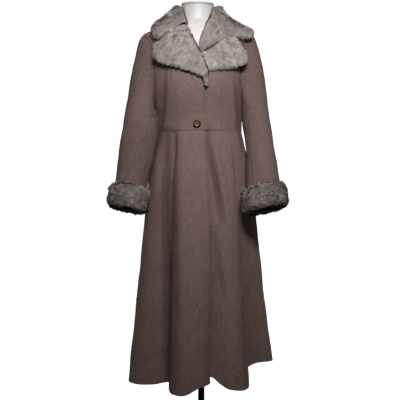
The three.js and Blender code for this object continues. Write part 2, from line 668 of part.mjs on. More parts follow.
function bodyPanels() {
  return [
    panel('front_right_bodice', BODICE_LEVELS, SEAMS.rightFront, SEAMS.topFrontEdge, 10,
      { lift: lapLift, cutLow: true }),
    panel('front_right_skirt', SKIRT_LEVELS, SEAMS.rightFront, SEAMS.topFrontEdge, 12,
      { lift: lapLift, cutHigh: true }),
    panel('front_left_bodice', BODICE_LEVELS, SEAMS.underFrontEdge, SEAMS.leftFront, 9, { cutLow: true }),
    panel('front_left_skirt', SKIRT_LEVELS, SEAMS.underFrontEdge, SEAMS.leftFront, 14,
      { cutHigh: true, hemRaise: (turn) => 16 * (1 - smoothstep(4, 20, turn)) }),
    panel('side_front_right', BODY_LEVELS, mirror(SEAMS.sideFront), SEAMS.rightFront, 9),
    panel('side_front_left', BODY_LEVELS, SEAMS.leftFront, SEAMS.sideFront, 9),
    panel('side_back_right', BODY_LEVELS, SEAMS.rightBack, mirror(SEAMS.sideBack), 7),
    panel('side_back_left', BODY_LEVELS, SEAMS.sideBack, SEAMS.leftBack, 7),
    panel('back_right', BODY_LEVELS, centreBack(-1), SEAMS.rightBack, 6),
    panel('back_left', BODY_LEVELS, SEAMS.leftBack, centreBack(1), 6),
  ];
}

// ---- Sleeves ----

// The armhole's edge, once round from the underarm up the front to the shoulder and down the back
function armholeRing(side) {
  const heights = BODICE_ROWS.filter((z) => z >= UNDERARM && z <= ARMHOLE_TOP);
  const front = heights.map((z) => ({ z, turn: SEAMS.sideFront(z - WAIST) }));
  const back = heights.slice(1, -1).reverse().map((z) => ({ z, turn: SEAMS.sideBack(z - WAIST) }));
  const inward = 0.5;
  return [...front, ...back].map(({ z, turn }, index) => {
    const level = z - WAIST;
    const edge = bodyPoint(side * turn, level);
    const normal = bodyNormal(side * turn, level);
    const beyond = index < front.length ? turn + inward : turn - inward;
    const into = bodyPoint(side * beyond, level).sub(edge).normalize();
    if (z === UNDERARM) into.set(0, 0, 1);
    if (z === ARMHOLE_TOP) into.set(0, 0, -1);
    return { edge: edge.addScaledVector(into, SEAM_GAP / 2 + ARMHOLE_EASE), normal };
  });
}

const SLEEVE_FIELDS = ['outer', 'inner', 'y', 'depth', 'side', 'fore'];

// A point round a sleeve's level cut, grown outwards, and by a share of that on the body's side
function sleeveRingPoint(sections, side, z, angle, grow = 0, innerShare = 1) {
  const outer = sections.outer(z) + grow;
  const inner = sections.inner(z) - grow * innerShare;
  const half = (outer - inner) / 2;
  const depth = sections.depth(z) + grow;
  const fromMiddle = -Math.cos(angle) * half;
  const fore = -Math.sin(angle) * depth;
  const x = (outer + inner) / 2 + fromMiddle;
  const tilted = z + sections.side(z) * fromMiddle - sections.fore(z) * fore;
  return new THREE.Vector3(side * x, sections.y(z) + fore, tilted);
}

// Outer face of a sleeve as rings of points, from the armhole to the wrist
function sleeveRings(sections, side) {
  const armhole = armholeRing(side);
  const count = armhole.length;
  // Each column keeps its share of the way round, from the underarm (0) past the front and the top
  const shares = armhole.map((_, j) => j / count);
  const angles = shares.map((share) => share * 2 * Math.PI);
  const top = SLEEVE_ROWS[0];
  const rings = [armhole.map(({ edge }) => edge)];
  for (const step of SLEEVE_HEAD_STEPS) {
    rings.push(armhole.map(({ edge }, j) => {
      const end = sleeveRingPoint(sections, side, top, angles[j]);
      const below = sleeveRingPoint(sections, side, top - 30, angles[j]);
      const arrive = below.sub(end).normalize();
      const crown = Math.max(0, -Math.cos(angles[j]));
      const leave = new THREE.Vector3(side * (1 - 0.55 * (1 - crown)), 0, -0.55 - 0.6 * (1 - crown));
      const span = edge.distanceTo(end);
      const reach = span * (0.45 - 0.12 * crown);
      return hermitePoint(edge, end, leave.normalize().multiplyScalar(reach),
        arrive.multiplyScalar(span * 0.9), step);
    }));
  }
  for (const z of SLEEVE_ROWS) {
    rings.push(angles.map((angle) => sleeveRingPoint(sections, side, z, angle)));
  }
  return rings;
}

function hermitePoint(from, to, leave, arrive, t) {
  const at = (axis) => hermite(0, 1, from[axis], to[axis], leave[axis], arrive[axis], t);
  return new THREE.Vector3(at('x'), at('y'), at('z'));
}

// Normals of a grid of points that closes on itself sideways, turned to face out
function ringNormals(rings, outwardSign) {
  const count = rings[0].length;
  return rings.map((ring, i) => ring.map((point, j) => {
    const above = rings[Math.max(0, i - 1)][j];
    const below = rings[Math.min(rings.length - 1, i + 1)][j];
    const before = ring[(j + count - 1) % count];
    const after = ring[(j + 1) % count];
    const down = below.clone().sub(above);
    return after.clone().sub(before).cross(down).normalize().multiplyScalar(outwardSign);
  }));
}

// A sleeve is cut in two: the upper piece runs over the arm's outside, the under piece along its inside
function sleevePieces(label, table, side) {
  const sections = curvesOf(table, 'z', SLEEVE_FIELDS);
  const rings = sleeveRings(sections, side);
  const normals = ringNormals(rings, -side);
  normals[0] = armholeRing(side).map(({ normal }) => normal);
  const count = rings[0].length;
  const frontSeam = 2;
  const backSeam = count - 3;
  const pieces = [
    { name: `sleeve_upper_${label}`, from: frontSeam, to: backSeam },
    { name: `sleeve_under_${label}`, from: backSeam, to: frontSeam + count },
  ];
  return pieces.map(({ name, from, to }) => {
    const outer = [];
    const inner = [];
    rings.forEach((ring, i) => {
      const outerRow = [];
      const innerRow = [];
      for (let j = from; j <= to; j += 1) {
        const point = ring[j % count].clone();
        const normal = normals[i][j % count];
        if (j === from || j === to) {
          const inside = ring[(j === from ? j + 1 : j - 1) % count].clone().sub(point).normalize();
          point.addScaledVector(inside, SEAM_GAP / 2);
        }
        outerRow.push(point);
        innerRow.push(point.clone().addScaledVector(normal, -CLOTH_WALL));
      }
      outer.push(outerRow);
      inner.push(innerRow);
    });
    return meshOfSkins(name, COLOURS.wool, outer, inner);
  });
}

// A turned-back cuff: fur outside the sleeve's end, rolled under it and a little way in
function cuff(label, table, side, innerShare) {
  const sections = curvesOf(table, 'z', SLEEVE_FIELDS);
  const columns = armholeRing(side).length;
  const wrist = SLEEVE_ROWS[SLEEVE_ROWS.length - 1];
  const angles = Array.from({ length: columns }, (_, j) => (j / columns) * 2 * Math.PI);
  const ringAt = (z, grow) => angles.map((angle) => (
    sleeveRingPoint(sections, side, z, angle, grow, grow > LAID_GAP ? innerShare : 1)));
  const height = CUFF_TOP - CUFF_BOTTOM;
  const outer = CUFF_PROFILE.map(({ along, out }) => ringAt(CUFF_TOP - along * height, out * CUFF_FUR));
  // The inner face goes down the sleeve, steps in under its end and ends at the rim
  const inner = [
    ringAt(CUFF_TOP - 0.5, LAID_GAP),
    ringAt(CUFF_TOP - 8, LAID_GAP),
    ringAt(CUFF_TOP - 26, LAID_GAP),
    ringAt(CUFF_TOP - 48, LAID_GAP),
    ringAt(wrist - SEAM_GAP - 0.4, LAID_GAP),
    ringAt(wrist - SEAM_GAP - 0.9, -CLOTH_WALL - 3),
    ringAt(CUFF_BOTTOM + 1, -CLOTH_WALL - 1),
  ];
  return meshOfSkins(`cuff_${label}`, COLOURS.fur, outer, inner, true);
}

// ---- Fur collar and lapels ----

// Share of the full thickness at a place between two rims, round at each rim
function rimShare(share, length, roundness) {
  const fromRim = Math.min(share, 1 - share) * length;
  if (fromRim >= roundness) return 1;
  const t = 1 - fromRim / roundness;
  return Math.sqrt(Math.max(0.02, 1 - t * t));
}

// A pad with rounded rims about a grid of middle points
function furPad(name, middles, thicknessAt) {
  const rows = middles.length;
  const columns = middles[0].length;
  const outer = [];
  const inner = [];
  middles.forEach((row, i) => {
    const outerRow = [];
    const innerRow = [];
    row.forEach((point, j) => {
      const down = middles[Math.min(rows - 1, i + 1)][j].clone().sub(middles[Math.max(0, i - 1)][j]);
      const aside = row[Math.min(columns - 1, j + 1)].clone().sub(row[Math.max(0, j - 1)]);
      const normal = down.cross(aside).normalize();
      const half = thicknessAt(i, j) / 2;
      outerRow.push(point.clone().addScaledVector(normal, half));
      innerRow.push(point.clone().addScaledVector(normal, -half));
    });
    outer.push(outerRow);
    inner.push(innerRow);
  });
  return meshOfSkins(name, COLOURS.fur, outer, inner);
}

const PAD_SHARES = [0, 0.05, 0.16, 0.38, 0.62, 0.84, 0.95, 1];

function topLapel() {
  const fields = ['rollX', 'rollZ', 'outerX', 'outerZ', 'bow'];
  const numbered = TOP_LAPEL.map((row, index) => ({ ...row, index }));
  const rowOf = curvesOf(numbered, 'index', fields);
  const places = [0, 0.15, 0.5, 1, 1.6, 2.3, 3, 3.8, 4.6, 5.4, 6.1, 6.8, 7.5, 8.2, 8.7, 9];
  const widths = [];
  const middles = places.map((place) => {
    const [rollX, rollZ, outerX, outerZ, bow] = fields.map((field) => rowOf[field](place));
    widths.push(Math.hypot(outerX - rollX, outerZ - rollZ));
    return PAD_SHARES.map((share) => {
      const x = rollX + (outerX - rollX) * share;
      const z = rollZ + (outerZ - rollZ) * share + bow * Math.sin(Math.PI * share);
      const overhang = 5 * smoothstep(-10, 20, x) + 3 * smoothstep(5, 7, place);
      return laidPoint(x, z, LAP_LIFT + LAID_GAP + LAPEL_FUR / 2 + overhang);
    });
  });
  return furPad('lapel_right', middles, (i, j) => LAPEL_FUR
    * rimShare(PAD_SHARES[j], widths[i], Math.min(12, widths[i] / 2))
    * rimShare(places[i] / 9, 230, 10));
}

function underLapel() {
  const fields = ['topX', 'topZ', 'lowX', 'lowZ', 'fur'];
  const numbered = UNDER_LAPEL.map((row, index) => ({ ...row, index }));
  const rowOf = curvesOf(numbered, 'index', fields);
  const places = [0, 0.4, 1, 1.6, 2.3, 3, 3.7, 4.4, 5.1, 5.8, 6.5, 7.1, 7.6, 8];
  const furs = [];
  const middles = places.map((place) => {
    const [topX, topZ, lowX, lowZ, fur] = fields.map((field) => rowOf[field](place));
    furs.push(fur);
    return PAD_SHARES.map((share) => laidPoint(
      topX + (lowX - topX) * share,
      topZ + (lowZ - topZ) * share,
      LAID_GAP + fur / 2,
    ));
  });
  return furPad('lapel_left', middles, (i, j) => furs[i]
    * rimShare(PAD_SHARES[j], 80, 12)
    * (places[i] > 4 ? rimShare(places[i] / 8, 160, 12) : 1));
}

function collar() {
  const names = ['foot', 'stand', 'roll', 'fall', 'edge'];
  const lines = names.map((name) => {
    const points = COLLAR.map((station) => new THREE.Vector3(...station[name]));
    return new THREE.CatmullRomCurve3(points, false, 'centripetal');
  });
  const middles = [];
  for (let i = 0; i < COLLAR_ROWS; i += 1) {
    const place = i / (COLLAR_ROWS - 1);
    const across = new THREE.CatmullRomCurve3(
      lines.map((line) => line.getPoint(place)), false, 'centripetal',
    );
    middles.push(COLLAR_COLUMNS.map((share) => {
      const point = across.getPoint(share);
      const ease = COLLAR_EASE + TIP_EASE * smoothstep(110, 150, Math.abs(point.x));
      const out = COLLAR_FUR / 2 + LAID_GAP + ease;
      return share > 0.45 && footOf(point).height < out ? settle(point, out) : point;
    }));
  }
  return furPad('collar', middles, (i, j) => {
    const share = COLLAR_COLUMNS[j];
    const full = STAND_FUR + (COLLAR_FUR - STAND_FUR) * smoothstep(0.3, 0.6, share);
    return full * rimShare(share, 160, 9) * rimShare(i / (COLLAR_ROWS - 1), 700, 14);
  });
}

// ---- Button, dress form and stand ----

function button() {
  const radius = BUTTON_ACROSS / 2;
  const shank = 1.6;
  // A raised rim round a dished middle, on a short thread shank
  const profile = [
    [0, 0], [3.2, 0], [3.2, shank], [radius * 0.86, shank + 0.4], [radius, shank + 1.6],
    [radius, shank + 2.8], [radius * 0.93, shank + BUTTON_THICK * 0.9],
    [radius * 0.78, shank + BUTTON_THICK], [radius * 0.66, shank + BUTTON_THICK * 0.72],
    [radius * 0.4, shank + BUTTON_THICK * 0.6], [0, shank + BUTTON_THICK * 0.56],
  ].map(([across, along]) => new THREE.Vector2(across, along));
  const geometry = new THREE.LatheGeometry(profile, 28);
  const mesh = new THREE.Mesh(geometry, new THREE.MeshStandardMaterial(COLOURS.button));
  mesh.name = 'button';
  const level = BUTTON_HEIGHT - WAIST;
  const turn = turnAt(BUTTON_X, level);
  const outward = bodyNormal(turn, level);
  mesh.position.copy(frontPoint(BUTTON_X, BUTTON_HEIGHT, LAP_LIFT + 0.35));
  mesh.quaternion.setFromUnitVectors(new THREE.Vector3(0, 1, 0), outward);
  return mesh;
}

function dressForm() {
  const insetAt = curveOf(FORM_INSET, 'z', 'inset');
  const columns = 24;
  const ring = (z) => Array.from({ length: columns }, (_, j) => {
    const turn = (j / columns) * 360;
    const inset = insetAt(z) + (z <= FORM_BOTTOM ? 8 : 0);
    if (z > SHOULDER_START) {
      return bodyPoint(turn, z - WAIST).addScaledVector(bodyNormal(turn, z - WAIST), -inset);
    }
    const section = z < WAIST
      ? sectionAt(-HIP_DROP * ((WAIST - z) / (WAIST - FORM_BOTTOM)))
      : sectionAt(z - WAIST);
    const across = Math.sin(turn * DEGREE);
    const ahead = Math.cos(turn * DEGREE);
    const half = Math.min(section.right, section.left);
    const depth = ahead > 0 ? section.front : section.back;
    return new THREE.Vector3(across * (half - inset), -ahead * (depth - inset), z);
  });
  const neckRing = (z, grow) => Array.from({ length: columns }, (_, j) => {
    const turn = (j / columns) * 2 * Math.PI;
    const across = Math.sin(turn) * (NECK_RADIUS + grow);
    const ahead = Math.cos(turn) * (NECK_RADIUS - NECK_FLATTENED + grow);
    return new THREE.Vector3(across, -ahead, z);
  });
  const rings = [
    ...FORM_ROWS.map(ring),
    neckRing(1309, 3),
    neckRing(1322, 0),
    neckRing(1345, -2),
    neckRing(NECK_TOP, -1),
  ];
  const torso = meshOfRings('form_torso', COLOURS.form, rings);
  const capFoot = NECK_TOP + SEAM_GAP;
  const cap = meshOfRings('form_neck_cap', COLOURS.form, [
    neckRing(capFoot, -2), neckRing(capFoot + 2, 0), neckRing(capFoot + CAP_THICK - 2.5, 0),
    neckRing(capFoot + CAP_THICK, -3),
  ]);
  return [torso, cap];
}

function stand() {
  const poleTop = STAND_RISE + FORM_BOTTOM - SEAM_GAP;
  const poleFoot = BASE_THICK + SEAM_GAP;
  const pole = new THREE.Mesh(
    new THREE.CylinderGeometry(POLE_RADIUS, POLE_RADIUS, poleTop - poleFoot, 20),
    new THREE.MeshStandardMaterial(COLOURS.stand),
  );
  pole.name = 'form_pole';
  pole.rotation.x = Math.PI / 2;
  pole.position.set(0, 0, (poleTop + poleFoot) / 2);
  const profile = [
    [0, 0], [BASE_RADIUS, 0], [BASE_RADIUS, BASE_THICK * 0.6], [BASE_RADIUS - 4, BASE_THICK], [0, BASE_THICK],
  ].map(([across, along]) => new THREE.Vector2(across, along));
  const base = new THREE.Mesh(
    new THREE.LatheGeometry(profile, 40),
    new THREE.MeshStandardMaterial(COLOURS.stand),
  );
  base.name = 'form_base';
  base.rotation.x = Math.PI / 2;
  return [pole, base];
}

// The coat and the form stand a little above and beside the middle of the base
const dressed = new THREE.Group();
dressed.position.set(-POLE_OFFSET, 0, STAND_RISE);
dressed.add(
  ...bodyPanels(),
  ...sleevePieces('right', RIGHT_SLEEVE, -1),
  ...sleevePieces('left', LEFT_SLEEVE, 1),
  cuff('right', RIGHT_SLEEVE, -1, RIGHT_CUFF_INNER_SHARE),
  cuff('left', LEFT_SLEEVE, 1, 1),
  collar(),
  topLapel(),
  underLapel(),
  button(),
  ...dressForm(),
);

const overcoat = new THREE.Group();
overcoat.add(dressed, ...stand());

export default overcoat;
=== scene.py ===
"""An overcoat of brushed wool with imitation fur, on a dress form: run as a script or kept as an add-on."""

import math

import bmesh
import bpy
import numpy as np
from bpy.props import FloatProperty, IntProperty, PointerProperty
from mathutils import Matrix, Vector


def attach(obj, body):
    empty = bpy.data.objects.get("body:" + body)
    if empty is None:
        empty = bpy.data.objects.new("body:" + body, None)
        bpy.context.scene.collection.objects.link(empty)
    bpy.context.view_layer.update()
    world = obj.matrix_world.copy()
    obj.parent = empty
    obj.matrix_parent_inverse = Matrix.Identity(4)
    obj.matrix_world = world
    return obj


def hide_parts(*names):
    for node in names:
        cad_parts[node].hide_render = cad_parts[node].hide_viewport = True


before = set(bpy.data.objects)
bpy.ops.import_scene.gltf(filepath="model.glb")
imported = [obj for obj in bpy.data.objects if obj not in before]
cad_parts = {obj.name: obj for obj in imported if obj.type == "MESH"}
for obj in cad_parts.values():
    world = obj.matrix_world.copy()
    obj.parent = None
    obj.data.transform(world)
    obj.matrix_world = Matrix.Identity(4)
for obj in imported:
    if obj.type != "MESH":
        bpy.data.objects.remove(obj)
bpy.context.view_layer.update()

bl_info = {
    "name": "Fur-trimmed Overcoat",
    "version": (1, 0, 0),
    "blender": (4, 5, 0),
    "location": "View3D > Sidebar > Overcoat",
    "description": "Builds a long wool overcoat with fur trim on a dress form",
    "category": "Add Mesh",
}

# ---- Sizes, in millimetres. Left and right are the wearer's; the coat's own middle is x = 0 ----

MM = 0.001
# Where the coat's own zero stands in the frame
STAND_SHIFT = np.array([-12.0, 0.0, 30.0])
WAIST = 932.0
NECK_EDGE = 1312.0
UNDERARM = 1021.0
ARMHOLE_TOP = 1266.0
SEAM_GAP = 0.3
LAID_GAP = 0.8
CHEST_TURN = 98.0
LAID_SLOPE = 0.36
COLLAR_EASE = 1.5
TIP_EASE = 2.0
ARMHOLE_EASE = 0.55
COLLAR_FUR = 14.0
LAPEL_FUR = 14.0
STAND_FUR = 8.0
CUFF_FUR = 20.0
LAP_LIFT = 3.6
SKIRT_LAP_EASE = 3.0
HEM_LAP_LIFT = 12.0
SKIRT_LENGTH = 830.0
SIDE_SEAM_TURN = 92.0
# Extra height of the under front's hem at its free edge
UNDER_HEM_RAISE = 16
# Chest's swell: depth, height and its spread, distance from the middle and its spread
CHEST_SWELL = (7, 1082, 55, 78, 42)
# How far the dip beside a seam and the dip beside a level cut reach
SEAM_DIP_REACH = 1.9
CUT_DIP_REACH = 2.1
# Where the second column of a sleeve's half lies, from its seam
SEAM_TUCK = 1.4
# How far the soft turn at a cloth's edge stands out past its last row
EDGE_TURN = 1.1
# Columns beside both edges of a panel, from the edge inwards
EDGE_PLACES = (0.15, 1.0, 2.2, 4.5)
# Points along and across the fur's grids: first place, last place, count
COLLAR_GRID = ((0.006, 0.994, 120), (0.025, 0.975, 30))
LAPEL_ACROSS = (0, 1, 24)
SLEEVE_AROUND = 108
BUTTON_AROUND = 96

# Level cuts of the bodice: height, half width right and left, depth front and back
BODICE_SECTIONS = (
    (932, 136, 150, 112, 96),
    (980, 140, 150, 117, 99),
    (1021, 147, 152, 124, 104),
    (1085, 157, 158, 130, 112),
    (1150, 165, 165, 124, 117),
    (1200, 174, 174, 113, 114),
    (1235, 187, 187, 105, 107),
    (1256, 190, 190, 98, 99),
    (1266, 184, 184, 94, 95),
    (1284, 130, 130, 86, 87),
    (1300, 84, 84, 76, 76),
    (1312, 68, 68, 66, 66),
)

# Level cuts of the skirt: drop from the waist (0) to the hem (1), then as above
SKIRT_SECTIONS = (
    (0, 136, 150, 112, 96),
    (0.05, 141, 158, 115, 104),
    (0.1, 151, 168, 119, 112),
    (0.2, 168, 180, 126, 124),
    (0.35, 181, 198, 136, 137),
    (0.6, 202, 219, 151, 155),
    (0.8, 219, 237, 163, 170),
    (1, 236, 258, 175, 185),
)

# The skirt's ridges and valleys once round: x and y at the hem, hem height, start, growth, lean
FOLDS = (
    (-50, -222, 82, 0.02, 0.9, -6),
    (2, -205, 104, 0.02, 1, 0),
    (30, -173, 114, 0.1, 1.2, 2),
    (46, -160, 122, 0.1, 1.2, 3),
    (72, -158, 108, 0.1, 1.2, 3),
    (104, -168, 92, 0.1, 1.2, 2),
    (147, -161, 88, 0.1, 1.1, 0),
    (168, -136, 93, 0.12, 0.9, 2),
    (150, -70, 132, 0.06, 0.7, -10),
    (205, -28, 157, 0.1, 1, -2),
    (258, 28, 156, 0.1, 1, 0),
    (226, 104, 148, 0.1, 1, 0),
    (148, 118, 138, 0.05, 0.8, 4),
    (112, 205, 116, 0.08, 1, 3),
    (52, 204, 112, 0.1, 1.1, 0),
    (0, 168, 116, 0.1, 1, 0),
    (-58, 208, 108, 0.1, 1.1, 0),
    (-118, 202, 104, 0.08, 1, -3),
    (-146, 118, 110, 0.05, 0.8, -4),
    (-208, 92, 98, 0.1, 1, 0),
    (-237, 15, 90, 0.1, 1, 0),
    (-204, -52, 89, 0.1, 1, 0),
    (-150, -80, 93, 0.08, 0.9, 2),
    (-97, -100, 104, 0, 0.55, 3),
    (-91, -158, 88, 0.02, 0.8, -4),
    (-78, -198, 84, 0.02, 0.9, -6),
)

# Seams as (height, turn round the body) on the bodice and (drop, turn) on the skirt
RIGHT_PRINCESS = (
    (932, -44), (1021, -39), (1090, -35), (1180, -32),
    (1250, -38), (1284, -52), (1300, -62), (1312, -70),
)
LEFT_PRINCESS = (
    (932, 34), (1021, 32), (1090, 31), (1180, 30),
    (1250, 38), (1284, 52), (1300, 62), (1312, 70),
)
BACK_PRINCESS = ((932, 148), (1090, 147), (1200, 146), (1256, 140), (1284, 128), (1312, 120))
RIGHT_PRINCESS_SKIRT = ((0, -44), (0.3, -38), (1, -35.9))
LEFT_PRINCESS_SKIRT = ((0, 34), (0.3, 42), (1, 57.5))
LEFT_BACK_SKIRT = ((0, 148), (1, 138))
# Armhole edge: height, turn of its front, turn of its back
ARMHOLE = (
    (1021, 92, 92), (1034, 78, 105), (1060, 70, 113), (1100, 65, 118), (1145, 62, 120),
    (1190, 60, 121), (1225, 60, 120), (1248, 66, 114), (1260, 76, 104), (1266, 90, 90),
)
ARMHOLE_HEIGHTS = (1021, 1034, 1060, 1100, 1145, 1190, 1225, 1248, 1260, 1266)
# Free edges of the fronts: a distance from the middle on the bodice and a turn on the skirt
TOP_FRONT_EDGE = (
    (932, 16), (1000, 13), (1077, 12), (1110, 16), (1166, 13),
    (1217, -8), (1260, -28), (1287, -40), (1300, -46), (1312, -52),
)
UNDER_FRONT_EDGE = (
    (932, -46), (1077, -42), (1110, -36), (1166, -20),
    (1217, 6), (1260, 28), (1287, 40), (1300, 46), (1312, 52),
)
TOP_FRONT_SKIRT_EDGE = ((0, 7.6), (0.1, 8.4), (0.35, 10.4), (0.6, 10), (1, 6.9))
UNDER_FRONT_SKIRT_EDGE = ((0, -19), (1, -8))

# Sleeves: height, outer and inner distance from the middle, y, half depth, side tilt, fore tilt
RIGHT_SLEEVE = (
    (1000, 246, 137, -22, 62, 0, 0),
    (960, 251, 127, -44, 59, 0.03, 0.02),
    (930, 255, 128, -48, 57, 0.05, 0.04),
    (900, 259, 133, -50, 56, 0.07, 0.06),
    (850, 265, 145, -50, 55, 0.1, 0.1),
    (800, 271, 160, -50, 54, 0.13, 0.15),
    (750, 277, 168, -53, 54, 0.16, 0.19),
    (682, 285, 179, -60, 52, 0.18, 0.2),
)
LEFT_SLEEVE = (
    (1000, 242, 147, -10, 58, 0, 0),
    (960, 246, 151, -20, 56, 0.03, 0.04),
    (900, 254, 161, -40, 54, 0.07, 0.1),
    (850, 260, 164, -63, 54, 0.1, 0.15),
    (800, 266, 161, -90, 55, 0.13, 0.19),
    (750, 272, 160, -112, 55, 0.16, 0.22),
    (682, 280, 163, -130, 52, 0.18, 0.24),
)
SLEEVE_TOP = 1000.0
WRIST = 682.0
CUFF_TOP = 750.0
CUFF_BOTTOM = 671.0
# Cuff: share of the way down, share of the fur's depth
CUFF_PROFILE = ((0, 0.22), (0.05, 0.62), (0.18, 0.93), (0.4, 1), (0.65, 0.98), (0.86, 0.82), (0.97, 0.45))

# Lapels: roll x and z, outer x and z, bow; and top x and z, low x and z, depth of fur
TOP_LAPEL = (
    (-36, 1283, -132, 1220, 7),
    (-23, 1257, -142, 1202, 5),
    (-4, 1219, -138, 1178, 2),
    (8, 1193, -116, 1161, 0),
    (19, 1167, -74, 1143, 0),
    (27, 1148, -30, 1126, 0),
    (33, 1128, 10, 1109, 0),
    (37, 1104, 17, 1096, 0),
    (38, 1086, 19, 1082, 0),
    (33, 1076, 25, 1075, 0),
)
UNDER_LAPEL = (
    (16, 1192, 20, 1124, 6),
    (34, 1200, 42, 1127, 8),
    (54, 1216, 64, 1131, 13),
    (77, 1234, 90, 1135, 14),
    (98, 1246, 112, 1139, 14),
    (118, 1246, 134, 1146, 14),
    (137, 1224, 149, 1153, 14),
    (150, 1204, 159, 1164, 13),
    (159, 1186, 163, 1174, 12),
)
# Collar stations from its right front end round the back: foot, stand, roll, fall, outer edge
COLLAR = (
    ((-31, -99, 1284), (-33, -100, 1287), (-40, -104, 1292), (-88, -90, 1267), (-131, -78, 1233)),
    ((-38, -66, 1306), (-40, -72, 1311), (-46, -80, 1319), (-95, -78, 1296), (-149, -66, 1247)),
    ((-48, -50, 1317), (-48, -55, 1332), (-52, -61, 1343), (-100, -52, 1316), (-157, -48, 1268)),
    ((-59, -34, 1317), (-58, -36, 1341), (-62, -38, 1355), (-101, -28, 1328), (-156, -22, 1288)),
    ((-68, 0, 1317), (-66, 0, 1344), (-68, 2, 1360), (-101, 8, 1332), (-150, 20, 1292)),
    ((-50, 47, 1317), (-50, 48, 1345), (-53, 53, 1363), (-80, 76, 1328), (-112, 96, 1262)),
    ((0, 68, 1317), (0, 68, 1345), (0, 75, 1364), (0, 105, 1328), (0, 112, 1254)),
    ((50, 47, 1317), (50, 48, 1345), (53, 53, 1363), (80, 76, 1326), (118, 96, 1262)),
    ((68, 0, 1317), (66, 0, 1344), (68, 2, 1360), (97, 8, 1319), (160, 20, 1284)),
    ((59, -34, 1317), (58, -36, 1341), (62, -38, 1354), (112, -30, 1311), (187, -28, 1273)),
    ((48, -50, 1317), (48, -55, 1332), (51, -62, 1342), (114, -60, 1295), (191, -52, 1253)),
    ((38, -66, 1306), (40, -72, 1311), (45, -82, 1317), (106, -84, 1276), (171, -72, 1240)),
    ((25, -99, 1282), (27, -100, 1285), (34, -104, 1288), (88, -92, 1262), (138, -78, 1247)),
    ((5, -112, 1227), (8, -114, 1229), (15, -116, 1232), (62, -110, 1240), (117, -90, 1252)),
    ((11, -118, 1189), (14, -119, 1192), (26, -120, 1199), (63, -112, 1223), (100, -98, 1250)),
)

BUTTON_X = -2.0
BUTTON_HEIGHT = 957.0
BUTTON_RADIUS = 12.5
# The button from its back round to its face: distance from its middle and height,
# and on its face share of the radius and height
BUTTON_FOOT = ((0.01, 0.0), (3.0, 0.0), (3.1, 0.8), (3.1, 1.6))
BUTTON_FACE = (
    (0.7, 1.8), (0.88, 2.1), (0.97, 2.7), (1, 3.4), (1, 4.3), (0.985, 4.9), (0.95, 5.4), (0.9, 5.8),
    (0.85, 6.0), (0.8, 6.05), (0.75, 5.9), (0.71, 5.5), (0.67, 5.05), (0.6, 4.75), (0.45, 4.55), (0.25, 4.45),
)
BUTTON_MIDDLE = (0.01, 4.4)

WOOL_COLOUR = (0.2, 0.138, 0.123)
# Painted shade: how much darker the sleeves' wool is painted than the body's, for the light that falls on
# them less
SLEEVE_PAINTED_SHADE = {"right": 0.76, "left": 0.82}
# Colours of the fur at the hairs' roots and tips
FUR_COLOURS = {
    "collar": ((0.185, 0.157, 0.144, 1), (0.62, 0.548, 0.509, 1)),
    "lapel": ((0.19, 0.162, 0.148, 1), (0.64, 0.568, 0.527, 1)),
    "cuff": ((0.11, 0.09, 0.08, 1), (0.4, 0.342, 0.312, 1)),
}
# Share of a hair's length by which the ground lies below the fur's full depth
PAD_SINK = 0.55
CUFF_SINK = 0.75
# How strongly the cuffs' hair clumps next to the other fur
CUFF_CLUMPING = 1.9
# Fields that part the hair: strength, seed's step, shortest and longest wave
HAIR_SWIRLS = ((0.7, 1, 16, 48), (0.8, 10, 50, 120), (0.5, 20, 8, 20))

# Creases: path of (x, z) points, half width, rise (troughs are negative), on the front or back
# The troughs also mark painted shade, which darkens the wool's colour in them
CREASES = (
    (((-110, 1150), (-112, 1082), (-119, 1010), (-128, 936), (-139, 880)), 10, -6.0, "front"),
    (((130, 1070), (135, 1010), (141, 960), (147, 920), (158, 850)), 7, -6.0, "front"),
    (((112, 1110), (119, 1040), (124, 960)), 12, 3.0, "front"),
    (((34, 935), (38, 880), (48, 820), (60, 768), (68, 718), (76, 670), (84, 630)), 8, -10.0, "front"),
    (((56, 900), (66, 840), (80, 770), (92, 700)), 12, 5.0, "front"),
    (((50, 612), (60, 540), (76, 452), (89, 375)), 8, -4.0, "front"),
    (((14, 350), (3, 298), (-28, 258), (-52, 236)), 6, -2.4, "front"),
    (((26, 930), (34, 800), (41, 680), (46, 508), (45, 400), (42, 300), (37, 105)), 5, -2.6, "front"),
    (((48, 620), (56, 450), (56, 300), (50, 110)), 15, -2.4, "front"),
    (((22, 1080), (24, 1010), (27, 938)), 4, -2.2, "front"),
    (((-134, 892), (-134, 820), (-137, 740)), 13, 4.5, "front"),
    (
        ((-104, 932), (-108, 850), (-108, 700), (-106, 600), (-104, 400), (-103, 240), (-102, 100)),
        12, -13.0, "front",
    ),
    (((-72, 925), (-80, 830), (-80, 700), (-78, 500), (-74, 300), (-70, 100)), 14, -5.0, "front"),
    (((96, 915), (104, 840), (118, 760)), 11, 2.5, "front"),
    (((-84, 1160), (-80, 1090), (-86, 1010)), 15, 1.3, "front"),
    (((-30, 925), (-26, 860), (-34, 780)), 10, -1.0, "front"),
    (((-40, 500), (-36, 380), (-44, 240)), 14, 1.6, "front"),
    (((150, 640), (160, 480), (168, 300), (174, 130)), 22, -4.0, "front"),
    (((-180, 640), (-192, 480), (-204, 300)), 16, -1.2, "front"),
    (((-60, 1180), (-78, 1130), (-110, 1090)), 10, -1.8, "back"),
    (((64, 1185), (82, 1132), (112, 1096)), 11, -2.0, "back"),
    (((-96, 1010), (-90, 930), (-98, 860)), 9, -2.4, "back"),
    (((92, 1016), (86, 936), (96, 858)), 9, -2.1, "back"),
    (((-30, 930), (-36, 840), (-30, 740)), 10, -1.8, "back"),
    (((34, 920), (30, 830), (38, 730)), 11, 1.6, "back"),
    (((-150, 700), (-166, 540), (-176, 380)), 14, -2.2, "back"),
    (((150, 690), (168, 520), (180, 360)), 13, -2.4, "back"),
)

